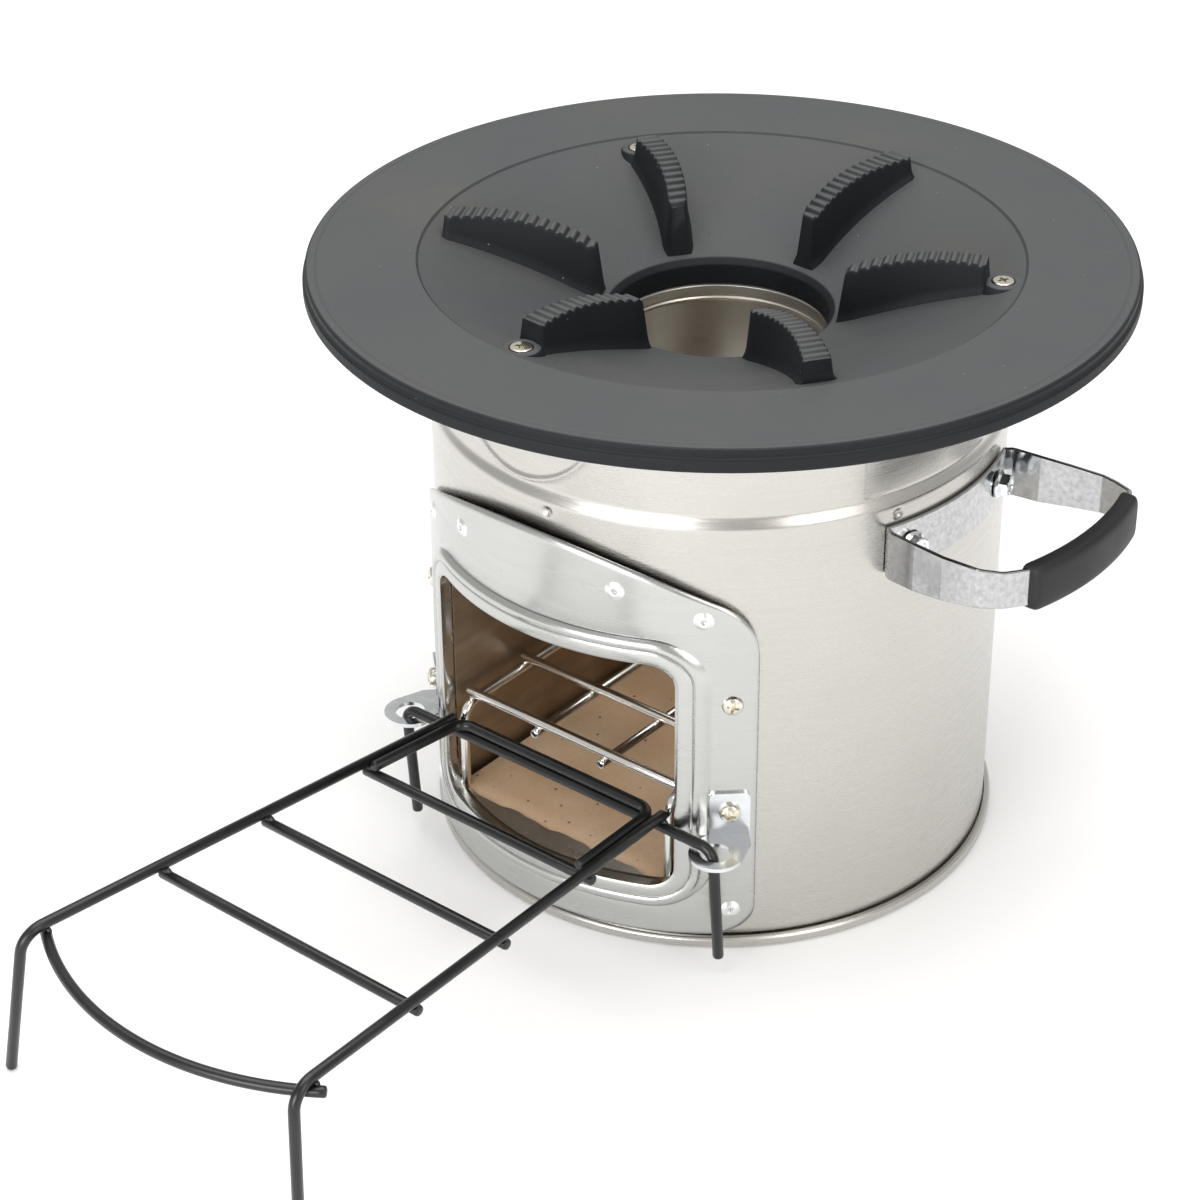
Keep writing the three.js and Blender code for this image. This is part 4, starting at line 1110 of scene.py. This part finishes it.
def strap_line():
    """Plan of the strap's closed centreline: the +Y leg flares, the -Y leg turns in early."""
    seat = BODY_R + GAP + STRAP_THICK / 2
    wrap = math.asin((STRAP_HALF - 4) / seat)
    leg = STRAP_HALF - STRAP_THICK / 2
    root = seat * math.cos(wrap) + 3.4
    points = [(seat * math.cos(wrap * k / 12), seat * math.sin(wrap * k / 12), 0) for k in range(-12, 13)]
    points += [(root, leg - 0.4, 3), (root + 14, leg + 1.2, 8), (root + 28, leg + 4.3, 8)]
    points += [(root + 43, leg + 7, 5), (root + 50, leg + 6.4, 2.5), (STRAP_REACH - 3, leg + 3.6, 3)]
    points += [(*bar_point(BAR_HALF * k / 10), 0) for k in range(10, -11, -1)]
    points += [(STRAP_REACH - 8, 6.3 - leg, 7), (STRAP_REACH - 17, 1.1 - leg, 8), (root + 28, -leg - 1.4, 8)]
    points += [(root + 14, -leg - 1.2, 8), (root, 0.4 - leg, 3)]
    return rounded(points, 6, True)


def strap(side, tag):
    """A flat strip on edge: wide where it is bolted on, tapering to the grip, closed on itself."""
    line = strap_line()
    n = len(line)
    h = STRAP_THICK / 2
    verts = []
    for k in range(n):
        p = Vector(line[k])
        t = (Vector(line[(k + 1) % n]) - Vector(line[k - 1])).normalized()
        normal = Vector((t.y, -t.x))
        u = min(max((p.x - BODY_R - 7.5) / (STRAP_REACH - 10 - BODY_R - 7.5), 0), 1)
        tall = (STRAP_TALL + (STRAP_TIP - STRAP_TALL) * u) / 2
        for out, up, trim in ((h, -1, 0.5), (h, 1, 0.5), (-h, 1, 0.5), (-h, -1, 0.5)):
            q = p + normal * out
            edge = p + normal * (out * 0.5)
            first, second = (edge, q) if up * out < 0 else (q, edge)
            z_flat = HANDLE_Z + up * (tall - trim)
            z_edge = HANDLE_Z + up * tall
            for point in (first, second):
                verts.append((side * point.x, point.y, z_flat if point is q else z_edge))
    ring = 8
    faces = []
    for k in range(n):
        j = (k + 1) % n
        for i in range(ring):
            m = (i + 1) % ring
            faces.append([k * ring + i, k * ring + m, j * ring + m, j * ring + i])
    obj = piece(f"handle_strap_{tag}_skin", verts, faces, STRAP, sharp=40)
    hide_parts(f"handle_strap_{tag}")


def grip(side, tag):
    """A moulded grip over the bar: rounded section with crowned faces, bowed with the bar, soft ends."""
    count = 40
    sides = 32
    verts = []
    for k in range(count + 1):
        t = -GRIP_HALF * math.cos(math.pi * k / count)
        x, y = bar_point(t)
        near = GRIP_HALF - abs(t)
        soft = math.sqrt(max(0, 1 - (1 - min(near / 2.6, 1)) ** 2))
        scale = 0.74 + 0.26 * soft
        for i in range(sides):
            a = 2 * math.pi * i / sides
            ca, sa = math.cos(a), math.sin(a)
            across = math.copysign(abs(ca) ** 0.5, ca) * GRIP_THICK / 2 * scale
            up = math.copysign(abs(sa) ** 0.42, sa) * GRIP_TALL / 2 * scale
            verts.append((side * (x + across), y, HANDLE_Z + up))
    faces = [list(range(sides))[::-1], list(range(count * sides, (count + 1) * sides))]
    for k in range(count):
        for i in range(sides):
            j = (i + 1) % sides
            faces.append([k * sides + i, k * sides + j, (k + 1) * sides + j, (k + 1) * sides + i])
    obj = piece(f"handle_grip_{tag}_skin", verts, faces, PLASTIC, sharp=50)
    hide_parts(f"handle_grip_{tag}")


def hex_radius(a, apothem):
    return apothem / math.cos((a + math.pi / 6) % (math.pi / 3) - math.pi / 6)


def flange_bolt(side, tag, k):
    """A flanged hex bolt with a dished head, pointing out of the body."""
    rows = [(0, -6, 0), (2.6, -6, 0), (2.6, 0, 0), (6.5, 0, 0), (6.6, 0.7, 0), (6, 1.15, 0), (5.4, 1.5, 0)]
    rows += [(1, 1.75, 1), (1, 5, 1), (0.94, 5.5, 2), (0.86, 5.85, 2)]
    rows += [(3.5, 5.85, 0), (3.1, 5.3, 0), (0, 5, 0)]
    segments = 72
    verts = []
    for r, z, kind in rows:
        for i in range(segments):
            a = 2 * math.pi * i / segments
            radius = r
            if kind == 1:
                radius = hex_radius(a, BOLT_APOTHEM) * r
            elif kind == 2:
                radius = min(hex_radius(a, BOLT_APOTHEM) * 0.995, BOLT_APOTHEM * 1.155 * r)
            verts.append((radius * math.cos(a), radius * math.sin(a), z))
    faces = []
    for i in range(len(rows) - 1):
        for m in range(segments):
            j = (m + 1) % segments
            faces.append([i * segments + m, i * segments + j, (i + 1) * segments + j, (i + 1) * segments + m])
    node = f"handle_bolt_{tag}_{1 if k < 0 else 2}"
    obj = piece(node + "_skin", verts, faces, ZINC, None, 30)
    bm = bmesh.new()
    bm.from_mesh(obj.data)
    bmesh.ops.remove_doubles(bm, verts=bm.verts, dist=1e-7)
    bm.to_mesh(obj.data)
    bm.free()
    seat = BODY_R + STRAP_THICK + 2 * GAP + 0.1
    turn = side * (math.pi / 2 + k * math.asin(HANDLE_BOLT_Y / BODY_R))
    turned_out(obj, turn, seat * math.sin(turn), -seat * math.cos(turn), HANDLE_Z)
    settle(obj)
    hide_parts(node)


def handles():
    for side, tag in ((-1, "left"), (1, "right")):
        strap(side, tag)
        grip(side, tag)
        for k in (-1, 1):
            flange_bolt(side, tag, k)


# ---- carried-over CAD nodes, with softened edges ----
def carried_over():
    for node, material, edge in (
        ("floor_tile", CLAY, 0.9), ("front_sill", RIVET, 0.3), ("firebox", TINTED, 0.25),
        ("deck_ring", SURROUND, 0.2),
        ("rack_lug_left", ZINC, 0.4), ("rack_lug_right", ZINC, 0.4),
    ):
        refined(node, material, edge)


# ---- stage: floor, light, camera ----
def stage():
    bm = bmesh.new()
    bmesh.ops.create_grid(bm, x_segments=1, y_segments=1, size=6)
    data = bpy.data.meshes.new("floor")
    bm.to_mesh(data)
    bm.free()
    floor = bpy.data.objects.new("floor", data)
    floor.location.z = -0.0002
    bpy.context.scene.collection.objects.link(floor)
    s = Shader("floor_paint", 0.75, 0, Specular_IOR_Level=0.2)
    s.link(s.ramp(s.noise(2, 2), (0.3, (0.9, 0.9, 0.9)), (0.7, (0.92, 0.92, 0.92))), "Base Color")
    data.materials.append(s.material)

    world = bpy.data.worlds.new("studio")
    bpy.context.scene.world = world
    world.use_nodes = True
    background = world.node_tree.nodes["Background"]
    background.inputs["Color"].default_value = (1, 0.99, 0.975, 1)
    background.inputs["Strength"].default_value = 0.62

    def soft_light(name, place, width, tall, power, colour=(1, 1, 1)):
        light = bpy.data.lights.new(name, "AREA")
        light.shape = "RECTANGLE"
        light.size = width
        light.size_y = tall
        light.energy = power
        light.color = colour
        obj = bpy.data.objects.new(name, light)
        obj.location = place
        aim = Vector((0, -0.05, 0.15)) - Vector(place)
        obj.rotation_euler = aim.to_track_quat("-Z", "Y").to_euler()
        bpy.context.scene.collection.objects.link(obj)

    soft_light("top", (-0.2, 0.1, 2.3), 2.4, 2.4, 52)
    soft_light("front", (0.3, -2.3, 0.7), 1.4, 1.0, 34)
    soft_light("right", (1.9, -0.5, 1.0), 0.9, 1.4, 12, (1, 0.97, 0.92))


CAMERA_AT = (0.7533, -0.9996, 0.8726)
CAMERA_TURN = math.radians(37)
CAMERA_YAW = -0.0452
CAMERA_PITCH = 0.5496
CAMERA_ROLL = -0.0092
CAMERA_LENS = 90.5


def camera():
    """The viewpoint: 37 degrees to the right of the front, looking down."""
    def turned(x, y, z):
        c, s = math.cos(CAMERA_TURN), math.sin(CAMERA_TURN)
        return Vector((c * x - s * y, s * x + c * y, z))

    cy, sy = math.cos(CAMERA_YAW), math.sin(CAMERA_YAW)
    cp, sp = math.cos(CAMERA_PITCH), math.sin(CAMERA_PITCH)
    ahead = turned(sy * cp, cy * cp, -sp)
    across = turned(cy, -sy, 0)
    upward = across.cross(ahead)
    c, s = math.cos(CAMERA_ROLL), math.sin(CAMERA_ROLL)
    right = across * c + upward * s
    up = upward * c - across * s
    cam = bpy.data.cameras.new("photo_camera")
    cam.sensor_width = 36
    cam.lens = CAMERA_LENS
    cam.clip_start = 0.05
    cam.clip_end = 50
    obj = bpy.data.objects.new("photo_camera", cam)
    bpy.context.scene.collection.objects.link(obj)
    rows = [[right[i], up[i], -ahead[i]] for i in range(3)]
    obj.rotation_euler = Matrix(rows).to_euler()
    obj.location = CAMERA_AT
    bpy.context.scene.camera = obj


camera()
stage()
shell()
base_pan()
cooktop_plate()
for fin_index in range(6):
    fin(fin_index)
cooktop_screws()
chamber()
door_frame()
rivets()
frame_screws()
log_rack()
fire_grate()
handles()
carried_over()
bpy.context.scene.view_settings.view_transform = "Standard"
